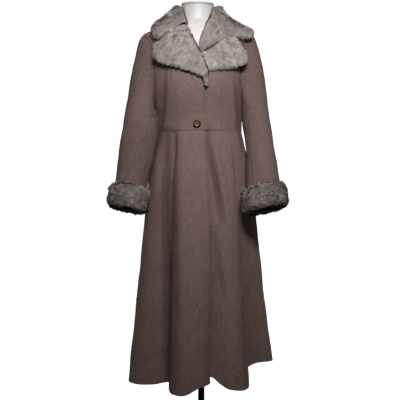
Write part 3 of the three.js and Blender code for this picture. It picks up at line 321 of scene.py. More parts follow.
# Creases of the sleeves: path of (turn from the body's side past the front, z), half width, rise
RIGHT_SLEEVE_CREASES = (
    (((0.3, 1012), (0.6, 996), (1.0, 980), (1.4, 972)), 4.5, -4.0),
    (((0.5, 945), (1.0, 962), (1.6, 985)), 8, -2.2),
    (((0.2, 905), (0.9, 925), (1.5, 960)), 7, 1.5),
    (((1.7, 1180), (1.5, 1110), (1.3, 1040)), 12, -2.2),
    (((2.6, 1150), (2.4, 1060), (2.3, 960)), 16, 1.4),
    (((5.2, 960), (4.4, 940), (3.8, 900)), 9, -2.2),
    (((1.2, 850), (1.5, 800), (1.4, 760)), 9, -1.4),
)
LEFT_SLEEVE_CREASES = (
    (((-0.2, 968), (0.6, 985), (1.3, 1010)), 7, -2.2),
    (((0.0, 925), (0.8, 940), (1.5, 970), (2.0, 990)), 8, -2.0),
    (((0.6, 880), (1.2, 900), (1.9, 930)), 9, 1.4),
    (((1.6, 1180), (1.5, 1100), (1.4, 1030)), 12, -1.8),
    (((2.5, 1160), (2.5, 1060), (2.4, 950)), 15, 1.5),
    (((5.3, 950), (4.5, 925), (3.9, 890)), 9, -2.4),
    (((1.0, 840), (1.4, 800), (1.5, 765)), 8, -1.3),
)

# Where the sleeves' wool gets painted shade in its creases, listed as the body's creases are
RIGHT_SLEEVE_PAINTED_SHADE = (
    (((-134, 1004), (-144, 992), (-160, 974)), 4, -9.0, "front"),
    (((-146, 1180), (-141, 1100), (-138, 1010), (-130, 930), (-140, 860)), 9, -6.0, "front"),
    (((-160, 930), (-172, 905), (-190, 892)), 6, -2.5, "front"),
    (((-215, 1120), (-222, 1040), (-226, 960)), 12, -2.0, "front"),
)
LEFT_SLEEVE_PAINTED_SHADE = (
    (((146, 1150), (150, 1060), (154, 990), (158, 940)), 6, -4.0, "front"),
    (((150, 960), (166, 936), (184, 920)), 5, -3.0, "front"),
    (((170, 860), (180, 830), (196, 812)), 6, -2.0, "front"),
)

# Lamps: name, setting and share of its power, place, aim, and width and height, in metres
LAMPS = (
    ("key", "key_power", 1.0, (0.2, -2.2, 2.3), (0.02, 0, 1.12), (0.8, 0.5)),
    ("top", "top_power", 1.0, (0.1, -0.6, 3.0), (0, -0.1, 1.2), (1.4, 1.0)),
    ("back", "back_power", 1.0, (0.1, 1.25, 2.1), (0, 0.1, 1.0), (1.2, 0.8)),
    ("flank", "back_power", 0.3, (-1.9, 0.9, 1.7), (0, 0, 0.9), (0.8, 0.8)),
    ("flank", "back_power", 0.3, (1.9, 0.9, 1.7), (0, 0, 0.9), (0.8, 0.8)),
)
KEY_SPREAD = 54
CAMERA_PLACE = (-0.0042, -3.4, 0.735)
CAMERA_LENS = 90
SENSOR_WIDTH = 36
# Backdrop: half width, front edge, where its curve starts, the curve's radius, and top
BACKDROP = (6, -4.5, 1.4, 1.2, 5.0)


# ---- Curves through tables ----


def calm_slopes(xs, ys):
    """Slopes that keep a curve through its points without overshoot."""
    steps = np.diff(ys) / np.diff(xs)
    slopes = np.concatenate([steps[:1], steps])
    before, after = steps[:-1], steps[1:]
    total = np.where(before * after > 0, before + after, 1.0)
    slopes[1:-1] = np.where(before * after > 0, 2 * before * after / total, 0.0)
    return slopes


def curve(xs, ys):
    """A smooth function through the points, held level beyond its ends."""
    xs, ys = np.asarray(xs, float), np.asarray(ys, float)
    slopes = calm_slopes(xs, ys)

    def value(x):
        i = np.clip(np.searchsorted(xs, x, side="right") - 1, 0, len(xs) - 2)
        width = xs[i + 1] - xs[i]
        t = np.clip((x - xs[i]) / width, 0, 1)
        rise = t * t * (3 - 2 * t)
        return (
            ys[i] * (1 - rise)
            + ys[i + 1] * rise
            + width * slopes[i] * t * (1 - t) * (1 - t)
            - width * slopes[i + 1] * t * t * (1 - t)
        )

    return value


def columns(rows):
    """One curve for each column after the first."""
    table = sorted(rows)
    return [curve([r[0] for r in table], [r[k] for r in table]) for k in range(1, len(table[0]))]


def smoothstep(low, high, x):
    t = np.clip((np.asarray(x, float) - low) / (high - low), 0, 1)
    return t * t * (3 - 2 * t)


def unit(v):
    return v / np.maximum(np.linalg.norm(v, axis=-1, keepdims=True), 1e-12)


def row_dots(first, second):
    return np.einsum("ij,ij->i", first, second)


def angles_round(count):
    return np.arange(count) / count * 2 * math.pi


def in_frame(points):
    """The coat's own millimetres as metres in the frame."""
    return (points + STAND_SHIFT) * MM


def in_coat(spots):
    """Metres in the frame as the coat's own millimetres."""
    return spots / MM - STAND_SHIFT


# ---- The body's outer face. A level is a height above the waist, or minus the skirt's drop ----

BODICE = columns(BODICE_SECTIONS)
SKIRT = columns(SKIRT_SECTIONS)


def section_at(level):
    """Half widths right and left and depths front and back."""
    if level < 0:
        return [c(-level) for c in SKIRT]
    return [c(WAIST + level) for c in BODICE]


def fold_marks():
    right, left, front, back = section_at(-1)
    marks = []
    for x, y, hem, start, growth, lean in FOLDS:
        across = x / (right if x < 0 else left)
        through = y / (front if y < 0 else back)
        turn = math.degrees(math.atan2(across, -through))
        marks.append((turn, math.hypot(across, through) - 1, hem, start, growth, lean))
    return np.array(sorted(marks))


MARKS = fold_marks()


def round_the_folds(turn, turns, values):
    """A value at each turn, through the marks once round."""
    around = np.concatenate([turns - 360, turns, turns + 360])
    return curve(around, np.tile(values, 3))(turn)


def fold_reach(turn, drop):
    grown = np.maximum(0, (drop - MARKS[:, 3]) / (1 - MARKS[:, 3])) ** MARKS[:, 4]
    return round_the_folds(turn, MARKS[:, 0] + MARKS[:, 5] * (1 - drop), MARKS[:, 1] * grown)


def body_points(turn, level):
    """Points on the body's outer face at one level."""
    right, left, front, back = section_at(level)
    wrapped = (np.asarray(turn, float) + 180) % 360 - 180
    across, ahead = np.sin(np.radians(wrapped)), np.cos(np.radians(wrapped))
    scale = 1 + fold_reach(wrapped, -level) if level < 0 else 1.0
    x = across * np.where(across < 0, right, left) * scale
    y = -ahead * np.where(ahead > 0, front, back) * scale
    z = np.full_like(x, WAIST + level)
    if level < 0:
        z = WAIST + level * (WAIST - round_the_folds(wrapped, MARKS[:, 0], MARKS[:, 2]))
    depth, height, tall, aside, wide = CHEST_SWELL
    swell = depth * np.exp(-(((z - height) / tall) ** 2) - ((np.abs(x) - aside) / wide) ** 2)
    y = y - np.where(ahead > 0, swell * np.minimum(1, ahead * 2), 0)
    return np.stack([x, y, z], -1)


def body_normals(turn, level):
    above = 0.004 if level < 0 else 2
    top = NECK_EDGE - WAIST
    high = min(top, min(0, level + above) if level < 0 else level + above)
    low = max(-1, level - above) if level < 0 else max(0, level - above)
    turn = np.asarray(turn, float)
    around = body_points(turn + 0.4, level) - body_points(turn - 0.4, level)
    return unit(np.cross(around, body_points(turn, high) - body_points(turn, low)))


def turn_at(x, level):
    """The turn at which the front's face is x away from the middle."""
    right, left = section_at(level)[:2]
    half = np.where(np.asarray(x) < 0, right, left)
    return np.degrees(np.arcsin(np.clip(x / half, -0.999, 0.999)))


def laid_point(x, z, out):
    """A point on what lies on the front: past the chest's turn it goes on almost straight."""
    reach = math.copysign(min(abs(x), CHEST_TURN), x)
    level = z - WAIST
    turn = turn_at(reach, level)
    point = body_points(turn, level) + body_normals(turn, level) * out
    point[0] += x - reach
    point[1] += LAID_SLOPE * (abs(x) - abs(reach))
    return point


def bodice_shape(points):
    """Below 0 inside the bodice and above it outside."""
    z = np.maximum(WAIST, points[:, 2])
    right, left, front, back = (c(z) for c in BODICE)
    across = points[:, 0] / np.where(points[:, 0] < 0, right, left)
    through = points[:, 1] / np.where(points[:, 1] < 0, front, back)
    return np.hypot(across, through) - 1


def settle(points, out):
    """Where each point's foot on the bodice is, raised by out, and how high the point itself stood."""
    foot = points.copy()
    for _ in range(15):
        here = bodice_shape(foot)
        slope = np.stack([(bodice_shape(foot + step) - here) / 0.5 for step in np.eye(3) * 0.5], -1)
        steep = np.linalg.norm(slope, axis=-1)
        outward = slope / steep[:, None]
        height = row_dots(points - foot, outward)
        settled = foot + outward * out[:, None]
        foot = foot - 0.8 * outward * (here / steep)[:, None]
    return settled, height


# ---- Unevenness ----


class Ripple:
    """A smooth seeded field made of waves between two lengths, about -1 to 1."""

    WAVES = 14

    def __init__(self, seed, short, long):
        rng = np.random.default_rng(seed)
        lengths = np.exp(rng.uniform(math.log(short), math.log(long), self.WAVES))
        self.waves = unit(rng.normal(size=(self.WAVES, 3))) * (2 * math.pi / lengths)[:, None]
        self.phases = rng.uniform(0, 2 * math.pi, self.WAVES)

    def __call__(self, points):
        sums = np.sin(points @ self.waves.T + self.phases).sum(-1)
        return sums / math.sqrt(len(self.phases))


def distance_to_path(across, up, path):
    """Distance to a path of straight runs, and the share of the way along it."""
    best = np.full(across.shape, 1e9)
    share = np.zeros(across.shape)
    runs = len(path) - 1
    for k in range(runs):
        (ax, az), (bx, bz) = path[k], path[k + 1]
        length = (bx - ax) ** 2 + (bz - az) ** 2
        t = np.clip(((across - ax) * (bx - ax) + (up - az) * (bz - az)) / length, 0, 1)
        away = np.hypot(across - ax - t * (bx - ax), up - az - t * (bz - az))
        share = np.where(away < best, (k + t) / runs, share)
        best = np.minimum(best, away)
    return best, share


def crease_rise(across, up, path, width, rise):
    away, share = distance_to_path(across, up, path)
    ends = np.sin(np.pi * np.clip(0.06 + 0.88 * share, 0, 1)) ** 0.7
    return rise * np.exp(-((away / width) ** 2)) * ends


BROAD = Ripple(11, 90, 240)
SMALL = Ripple(12, 28, 70)


def body_relief(points, normals, strength, uneven):
    """How far the body's cloth stands off its plain form."""
    x, z = points[..., 0], points[..., 2]
    relief = uneven * (0.9 * BROAD(points) + 0.35 * SMALL(points))
    facing = {
        "front": smoothstep(0.1, 0.5, -normals[..., 1]),
        "back": smoothstep(0.1, 0.5, normals[..., 1]),
    }
    for path, width, rise, side in CREASES:
        relief = relief + strength * facing[side] * crease_rise(x, z, path, width, rise)
    return relief


# ---- Meshes ----


def new_object(name, data):
    """An object in the scene that holds the data."""
    made = bpy.data.objects.new(name, data)
    bpy.context.scene.collection.objects.link(made)
    return made


def add_piece(name, points, quads):
    """A mesh object from points in the coat's own millimetres."""
    mesh = bpy.data.meshes.new(name)
    mesh.from_pydata(in_frame(points).tolist(), [], quads.tolist())
    mesh.validate()
    work = bmesh.new()
    work.from_mesh(mesh)
    bmesh.ops.remove_doubles(work, verts=work.verts, dist=1e-6)
    bmesh.ops.recalc_face_normals(work, faces=work.faces)
    if work.calc_volume(signed=True) < 0:
        bmesh.ops.reverse_faces(work, faces=work.faces)
    for face in work.faces:
        face.smooth = True
    work.to_mesh(mesh)
    work.free()
    return new_object(name, mesh)


def vertex_values(mesh, key):
    """Three numbers for each vertex of a mesh: its place or its normal."""
    values = np.empty(len(mesh.vertices) * 3)
    mesh.vertices.foreach_get(key, values)
    return values.reshape(-1, 3)


def mark_points(mesh, label, values):
    """Gives each point of a mesh a number that its material reads."""
    mesh.attributes.new(label, "FLOAT", "POINT").data.foreach_set("value", values.astype(np.float32))


def paint_crease_shade(piece, creases):
    """Marks how deep in a crease each point lies, for the painted shade that darkens the wool there."""
    mesh = piece.data
    spots, facing = in_coat(vertex_values(mesh, "co")), vertex_values(mesh, "normal")
    depth = np.zeros(len(spots))
    for path, width, rise, side in creases:
        if rise < 0:
            at_side = facing[:, 1] < 0.3 if side == "front" else facing[:, 1] > -0.3
            depth -= at_side * crease_rise(spots[:, 0], spots[:, 2], path, 1.2 * width, rise)
    mark_points(mesh, "painted_crease_shade", 1 - np.exp(-depth / 9))


def tube_quads(rings, around):
    """Quads between rings of points, each ring closed on itself."""
    i, j = np.meshgrid(np.arange(rings - 1), np.arange(around), indexing="ij")
    i, j = i.ravel(), j.ravel()
    after = (j + 1) % around
    return np.stack([i * around + j, i * around + after, (i + 1) * around + after, (i + 1) * around + j], -1)


def wall(outer, inner, ends=(True, True)):
    """Points and quads of a closed cloth wall with rounded edges. ends says which rows end in a soft turn."""
    first, last = (outer[:, 0] + inner[:, 0]) / 2, (outer[:, -1] + inner[:, -1]) / 2
    first = first + unit(outer[:, 0] - outer[:, 1]) * 0.05
    last = last + unit(outer[:, -1] - outer[:, -2]) * 0.05
    rings = np.concatenate([outer, last[:, None], inner[:, ::-1], first[:, None]], 1)
    caps = []
    for row, beyond, soft in ((0, 1, ends[0]), (-1, -2, ends[1])):
        away = unit(outer[row] - outer[beyond]) * (EDGE_TURN if soft else 0.0)
        line = (outer[row] + inner[row]) / 2 + away
        caps.append(np.concatenate([line, line[-1:], line[::-1], line[:1]], 0)[None])
    rings = np.concatenate([caps[0], rings, caps[1]], 0)
    return rings.reshape(-1, 3), tube_quads(*rings.shape[:2])


def spread(width, count):
    """Places across a width: close together along both edges and even between them."""
    last = EDGE_PLACES[-1]
    inner = np.linspace(last + (width - 2 * last) / count, width - last, count)[:-1]
    return np.concatenate([EDGE_PLACES, inner, [width - place for place in reversed(EDGE_PLACES)]])


# ---- Panels ----

ARMHOLE_FRONT, ARMHOLE_BACK = columns(ARMHOLE)


def seam(bodice, skirt):
    """The turn of a seam at any level, from its tables above and below the waist."""
    above, below = columns(bodice)[0], columns(skirt)[0]

    def turn(level):
        return below(-level) if level < 0 else above(WAIST + level)

    return turn


def front_edge(bodice, skirt):
    """The turn of a front's free edge at any level, from its tables above and below the waist."""
    above, below = columns(bodice)[0], columns(skirt)[0]

    def turn(level):
        return below(-level) if level < 0 else turn_at(above(WAIST + level), level)

    return turn


def side_seam(armhole):
    """The turn of a side seam, which goes on round the armhole above the underarm."""

    def turn(level):
        return SIDE_SEAM_TURN if level <= UNDERARM - WAIST else armhole(WAIST + level)

    return turn


def mirrored(line):
    """The same seam on the other side of the body."""

    def turn(level):
        return -line(level)

    return turn


def middle_back(level):
    """The turn of the seam down the middle of the back, which is the same at each level."""
    return 180.0


right_front = seam(RIGHT_PRINCESS, RIGHT_PRINCESS_SKIRT)
left_front = seam(LEFT_PRINCESS, LEFT_PRINCESS_SKIRT)
left_back = seam(BACK_PRINCESS, LEFT_BACK_SKIRT)
right_back = mirrored(left_back)
side_front, side_back = side_seam(ARMHOLE_FRONT), side_seam(ARMHOLE_BACK)
top_front_edge = front_edge(TOP_FRONT_EDGE, TOP_FRONT_SKIRT_EDGE)
under_front_edge = front_edge(UNDER_FRONT_EDGE, UNDER_FRONT_SKIRT_EDGE)


def lap_lift(turn, level):
    """How far the top front stands off the body's face where it laps over the under front."""
    start = under_front_edge(level) - 9
    lap = smoothstep(start - 9, start + 3, turn)
    if level < 0:
        loose = SKIRT_LAP_EASE * smoothstep(0, 0.2, -level)
        at_edge = (HEM_LAP_LIFT - LAP_LIFT) * (-level) ** 1.5 * smoothstep(-4, 9, turn)
        return lap * (LAP_LIFT + loose + at_edge)
    return lap * LAP_LIFT * (1 - smoothstep(1222, 1250, WAIST + level))


def under_hem_raise(turn):
    """How far the under front's hem is drawn up beside its free edge."""
    return UNDER_HEM_RAISE * (1 - smoothstep(4, 20, turn))


def skirt_levels():
    drops = [1 - drop / SKIRT_LENGTH for drop in (0, 1.2, 3, 6)]
    drops += list(np.linspace(1 - 14 / SKIRT_LENGTH, 14 / SKIRT_LENGTH, 66))
    return [-drop for drop in drops] + [-drop / SKIRT_LENGTH for drop in (7, 3, 1.2)] + [-1e-9]


def bodice_levels():
    marks = [932, 933.2, 935, 939, 945]
    marks += list(np.linspace(951, 1246, 46)) + [1250, 1254, 1258, 1262, 1266, 1272, 1278, 1284, 1290, 1296]
    return [z - WAIST for z in marks + [1301, 1306, 1310, 1312]]


def panel_skins(
    levels, start_of, end_of, count, cloth, lift=None, hem_raise=None, cuts=(False, False), free=()
):
    """Outer and inner skins of a panel between two seams. cuts says which end rows meet another panel."""
    outer, inner = [], []
    for row, level in enumerate(levels):
        start, end = float(start_of(level)), float(end_of(level))
        probe = body_points(np.linspace(start, end, 13), level)
        width = np.linalg.norm(np.diff(probe, axis=0), axis=1).sum()
        places = spread(width, count)
        turn = start + (end - start) * places / width
        normal = body_normals(turn, level)
        point = body_points(turn, level)
        if lift is not None:
            point = point + normal * lift(turn, level)[:, None]
        if hem_raise is not None and level < 0:
            point[:, 2] += hem_raise(turn) * (-level) ** 3
        if row == 0 and cuts[0]:
            point[:, 2] += SEAM_GAP / 2
        if row == len(levels) - 1 and cuts[1]:
            point[:, 2] -= SEAM_GAP / 2
        relief = body_relief(point, normal, cloth.crease, cloth.uneven)
        dip = np.zeros(len(turn))
        for edge, from_edge in (("start", places), ("end", width - places)):
            if edge not in free:
                dip += np.exp(-((from_edge / SEAM_DIP_REACH) ** 2))
        if any(cuts):
            height = abs(level) * (SKIRT_LENGTH if level < 0 else 1)
            dip += np.exp(-((height / CUT_DIP_REACH) ** 2))
        point = point + normal * relief[:, None]
        outer.append(point - normal * (cloth.seam_dip / MM * dip)[:, None])
        inner.append(point - normal * (cloth.thickness / MM))
    return np.array(outer), np.array(inner)


# ---- Sleeves ----


def armhole_ring(side, shares):
    """The armhole's edge once round, from the underarm past the front and the shoulder, and its normals."""
    height_at = curve(range(len(ARMHOLE_HEIGHTS)), ARMHOLE_HEIGHTS)
    count = 2 * (len(ARMHOLE_HEIGHTS) - 1)
    edges, normals = [], []
    for share in shares:
        place = share * count
        at_front = place <= count / 2
        z = float(height_at(place if at_front else count - place))
        level = z - WAIST
        turn = float(ARMHOLE_FRONT(z) if at_front else ARMHOLE_BACK(z))
        beyond = turn + 0.5 if at_front else turn - 0.5
        edge = body_points([side * turn], level)[0]
        into = unit(body_points([side * beyond], level)[0] - edge)
        near_low = math.exp(-(((z - UNDERARM) / 4) ** 2))
        near_top = math.exp(-(((ARMHOLE_TOP - z) / 2) ** 2))
        into = unit(into * (1 - near_low - near_top) + np.array([0, 0, near_low - near_top]))
        edges.append(edge + into * (SEAM_GAP / 2 + ARMHOLE_EASE))
        normals.append(body_normals([side * turn], level)[0])
    return np.array(edges), np.array(normals)


def sleeve_ring(sections, side, z, angles, grow=0.0, inner_share=1.0):
    """A level cut of a sleeve, grown outwards, and by a share of that on the body's side."""
    outer, inner, y, depth, side_tilt, fore_tilt = (c(z) for c in sections)
    outer, inner, depth = outer + grow, inner - grow * inner_share, depth + grow
    from_middle = -np.cos(angles) * (outer - inner) / 2
    fore = -np.sin(angles) * depth
    x = (outer + inner) / 2 + from_middle
    tilted = z + side_tilt * from_middle - fore_tilt * fore
    return np.stack([side * x, y + fore, tilted], -1)


def hermite_points(start, end, leave, arrive, t):
    rise = t * t * (3 - 2 * t)
    return start * (1 - rise) + end * rise + leave * t * (1 - t) ** 2 - arrive * t * t * (1 - t)


def sleeve_rings(sections, side):
    shares = np.arange(SLEEVE_AROUND) / SLEEVE_AROUND
    angles = angles_round(SLEEVE_AROUND)
    edge, normals = armhole_ring(side, shares)
    end = sleeve_ring(sections, side, SLEEVE_TOP, angles)
    arrive = unit(sleeve_ring(sections, side, SLEEVE_TOP - 30, angles) - end)
    crown = np.maximum(0, -np.cos(angles))
    leave = unit(np.stack([side * (1 - 0.55 * (1 - crown)), crown * 0, -0.55 - 0.6 * (1 - crown)], -1))
    span = np.linalg.norm(edge - end, axis=-1)
    leave = leave * (span * (0.45 - 0.12 * crown))[:, None]
    arrive = arrive * (span * 0.9)[:, None]
    steps = np.concatenate([[0, 0.012, 0.03], np.linspace(0.06, 0.97, 20)])
    rings = [hermite_points(edge, end, leave, arrive, t) for t in steps]
    heights = np.linspace(SLEEVE_TOP, WRIST, 42)
    rings += [sleeve_ring(sections, side, z, angles) for z in heights]
    return np.array(rings), normals


def ring_normals(rings, sign):
    before, after = np.roll(rings, 1, 1), np.roll(rings, -1, 1)
    above = np.concatenate([rings[:1], rings[:-1]])
    below = np.concatenate([rings[1:], rings[-1:]])
    return unit(np.cross(after - before, below - above)) * sign


def beside_seam(skin, where, inward):
    """Two columns in place of a grid's edge: one at the seam's gap and one a little further in."""
    edge = skin[:, [where]]
    step_in = unit(skin[:, [inward]] - edge)
    return edge + step_in * SEAM_GAP / 2, edge + step_in * SEAM_TUCK


def sleeve_halves(table, side, cloth, creases):
    """Outer and inner skins of a sleeve's upper half and of its under half."""
    rings, armhole_normals = sleeve_rings(columns(table), side)
    normals = ring_normals(rings, -side)
    rows = np.arange(len(rings))
    fade = smoothstep(0, 5, rows)[:, None, None]
    normals = unit(normals * fade + armhole_normals[None] * (1 - fade))
    girth = np.linalg.norm(np.roll(rings, -1, 1) - rings, axis=-1).sum(1) / (2 * math.pi)
    mean = float(girth.mean())
    angles = np.broadcast_to(angles_round(SLEEVE_AROUND), rings.shape[:2])
    relief = cloth.uneven * (0.9 * BROAD(rings + 400) + 0.35 * SMALL(rings + 400))
    for path, width, rise in creases:
        for turns in (-1, 0, 1):
            scaled = tuple(((a + turns * 2 * math.pi) * mean, z) for a, z in path)
            relief = relief + cloth.crease * crease_rise(angles * mean, rings[..., 2], scaled, width, rise)
    ease = smoothstep(0, 6, rows)[:, None]
    near_cuff = 1 - smoothstep(len(rings) - 13, len(rings) - 9, rows)[:, None]
    rings = rings + normals * (relief * ease * near_cuff)[..., None]
    step = SLEEVE_AROUND // 18
    front_seam, back_seam = 2 * step, SLEEVE_AROUND - 3 * step
    for first, last in ((front_seam, back_seam), (back_seam, front_seam + SLEEVE_AROUND)):
        pick = np.arange(first, last + 1) % SLEEVE_AROUND
        skin, turned = rings[:, pick], normals[:, pick]
        start, near_start = beside_seam(skin, 0, 1)
        end, near_end = beside_seam(skin, -1, -2)
        skin = np.concatenate([start, near_start, skin[:, 1:-1], near_end, end], 1)
        turned = turned[:, [0, 0, *range(1, turned.shape[1] - 1), -1, -1]]
        dip = np.zeros(skin.shape[:2])
        dip[:, [0, -1]] = 1.0
        dip[:, [1, -2]] = 0.45
        dip[0] = 1.6
        dip[1] = np.maximum(dip[1], 1.3)
        dip[2] = np.maximum(dip[2], 0.6)
        yield skin - turned * (cloth.seam_dip / MM * dip)[..., None], skin - turned * (cloth.thickness / MM)


# ---- Fur ----


def catmull_rom(points, t):
    """A centripetal curve through points of shape (count, n, 3), at one share t of its length in points."""
    count = len(points)
    place = t * (count - 1)
    i = min(int(math.floor(place)), count - 2)
    weight = place - i
    p1, p2 = points[i], points[i + 1]
    p0 = points[i - 1] if i > 0 else 2 * points[0] - points[1]
    p3 = points[i + 2] if i + 2 < count else 2 * points[-1] - points[-2]

    def gap(a, b):
        return np.maximum(np.linalg.norm(b - a, axis=-1, keepdims=True) ** 0.5, 1e-4)

    d0, d1, d2 = gap(p0, p1), gap(p1, p2), gap(p2, p3)
    t1 = ((p1 - p0) / d0 - (p2 - p0) / (d0 + d1) + (p2 - p1) / d1) * d1
    t2 = ((p2 - p1) / d1 - (p3 - p1) / (d1 + d2) + (p3 - p2) / d2) * d1
    c2 = -3 * p1 + 3 * p2 - 2 * t1 - t2
    c3 = 2 * p1 - 2 * p2 + t1 + t2
    return p1 + t1 * weight + c2 * weight**2 + c3 * weight**3


def rim_share(share, length, roundness):
    """Share of the full thickness at a place between two rims, round at each rim."""
    from_rim = np.minimum(share, 1 - share) * length
    t = np.clip(1 - from_rim / roundness, 0, 1)
    return np.sqrt(np.maximum(0.02, 1 - t * t))


def grid_normals(middles):
    down = np.empty_like(middles)
    down[1:-1] = middles[2:] - middles[:-2]
    down[0], down[-1] = middles[1] - middles[0], middles[-1] - middles[-2]
    aside = np.empty_like(middles)
    aside[:, 1:-1] = middles[:, 2:] - middles[:, :-2]
    aside[:, 0], aside[:, -1] = middles[:, 1] - middles[:, 0], middles[:, -1] - middles[:, -2]
    return unit(np.cross(down, aside))


def pad_skins(middles, depths, show, hair):
    """Skins of the ground under a pad's fur: drawn in from its full depth by the hair's reach."""
    normals = grid_normals(middles)
    half = depths / 2
    front = np.maximum(half - hair, 0.4)
    back = np.maximum(half - hair * 0.35, 0.4)
    up, down = (front, back) if show > 0 else (back, front)
    return middles + normals * up[..., None], middles - normals * down[..., None]


def row_curves(table):
    """One curve for each column of a table, through its rows in order."""
    return [curve(range(len(table)), column) for column in zip(*table)]


def top_lapel_middles(places, shares):
    fields = row_curves(TOP_LAPEL)
    rows, depths = [], []
    for place in places:
        roll_x, roll_z, outer_x, outer_z, bow = (float(f(place)) for f in fields)
        width = math.hypot(outer_x - roll_x, outer_z - roll_z)
        inset = min(4.0, 0.28 * width) / width
        row, depth = [], []
        for share in inset + (1 - 2 * inset) * shares:
            x = roll_x + (outer_x - roll_x) * share
            z = roll_z + (outer_z - roll_z) * share + bow * math.sin(math.pi * share)
            overhang = 5 * smoothstep(-10, 20, x) - 1 * smoothstep(5, 7, place)
            row.append(laid_point(x, z, LAP_LIFT + LAID_GAP + LAPEL_FUR / 2 + overhang))
            flatter = 1 - 0.45 * smoothstep(5.6, 7.2, place)
            end = rim_share(place / 9, 230, 10)
            depth.append(LAPEL_FUR * flatter * rim_share(share, width, min(12, width / 2)) * end)
        rows.append(row)
        depths.append(depth)
    return np.array(rows), np.array(depths)


def under_lapel_middles(places, shares):
    fields = row_curves(UNDER_LAPEL)
    rows, depths = [], []
    for place in places:
        top_x, top_z, low_x, low_z, fur = (float(f(place)) for f in fields)
        width = math.hypot(low_x - top_x, low_z - top_z)
        inset = min(4.0, 0.28 * width) / width
        row, depth = [], []
        for share in inset + (1 - 2 * inset) * shares:
            x, z = top_x + (low_x - top_x) * share, top_z + (low_z - top_z) * share
            row.append(laid_point(x, z, LAID_GAP + fur / 2))
            end = float(rim_share(place / 8, 160, 12)) if place > 4 else 1.0
            depth.append(fur * float(rim_share(share, 80, 12)) * end)
        rows.append(row)
        depths.append(depth)
    return np.array(rows), np.array(depths)


def collar_middles(places, shares):
    lines = np.array(COLLAR, float).transpose(1, 0, 2)
    rows = []
    for place in places:
        across = np.array([catmull_rom(line[:, None], place)[0] for line in lines])
        rows.append([catmull_rom(across[:, None], share)[0] for share in shares])
    middles = np.array(rows)
    flat = middles.reshape(-1, 3)
    ease = COLLAR_EASE + TIP_EASE * smoothstep(110, 150, np.abs(flat[:, 0]))
    out = COLLAR_FUR / 2 + LAID_GAP + ease
    settled, height = settle(flat, out)
    low = (np.tile(shares, len(places)) > 0.45) & (height < out)
    middles = np.where(low[:, None], settled, flat).reshape(middles.shape)
    full = STAND_FUR + (COLLAR_FUR - STAND_FUR) * smoothstep(0.3, 0.6, shares)
    depths = full[None] * rim_share(shares, 160, 9)[None] * rim_share(np.asarray(places), 700, 14)[:, None]
    return middles, depths


def cuff_skins(table, side, inner_share, hair):
    """Skins of the ground under a cuff's fur, from its top down the outside and up the sleeve's face."""
    sections = columns(table)
    angles = angles_round(SLEEVE_AROUND)
    height = CUFF_TOP - CUFF_BOTTOM
    out_at = columns(CUFF_PROFILE)[0]
    outer = []
    for along in np.concatenate([[0.05, 0.08, 0.12], np.linspace(0.18, 0.86, 15), [0.9, 0.93]]):
        grow = max(float(out_at(along)) * CUFF_FUR - hair, LAID_GAP + 1.2)
        outer.append(sleeve_ring(sections, side, CUFF_TOP - along * height, angles, grow, inner_share))
    face = [(CUFF_TOP - drop, LAID_GAP) for drop in (5, 14, 26, 38, 48, 58)]
    face += [(WRIST - 0.7, LAID_GAP), (WRIST - 1.2, -5.2), (CUFF_BOTTOM + 5, -5.0), (CUFF_BOTTOM + 4.2, -2.5)]
    inner = [sleeve_ring(sections, side, z, angles, grow) for z, grow in face]
    rings = np.array(outer + inner[::-1] + outer[:1])
    skin = np.concatenate([rings[: len(outer)], rings[: len(outer), :1]], 1)
    return rings.reshape(-1, 3), tube_quads(len(rings), SLEEVE_AROUND), skin


def scatter(ground, count, density, rng):
    """Random places on a mesh, laid as densely as asked, and its normals there."""
    mesh = ground.data
    mesh.calc_loop_triangles()
    corners = np.empty(len(mesh.loop_triangles) * 3, np.int32)
    mesh.loop_triangles.foreach_get("vertices", corners)
    corners = corners.reshape(-1, 3)
    spots, facing = in_coat(vertex_values(mesh, "co")), vertex_values(mesh, "normal")
    first, second, third = (spots[corners[:, k]] for k in range(3))
    areas = np.linalg.norm(np.cross(second - first, third - first), axis=-1) / 2
    weights = areas * density((first + second + third) / 3, facing[corners].mean(1))
    chosen = rng.choice(len(corners), size=count, p=weights / weights.sum())
    share = rng.random((count, 2))
    over = share.sum(1) > 1
    share[over] = 1 - share[over]
    mix = np.stack([1 - share.sum(1), share[:, 0], share[:, 1]], -1)
    roots = np.einsum("ij,ijk->ik", mix, spots[corners[chosen]])
    return roots, unit(np.einsum("ij,ijk->ik", mix, facing[corners[chosen]]))


def along_skin(ways, normals):
    """What is left of each way once its part along the normal is taken off."""
    return ways - normals * row_dots(ways, normals)[:, None]


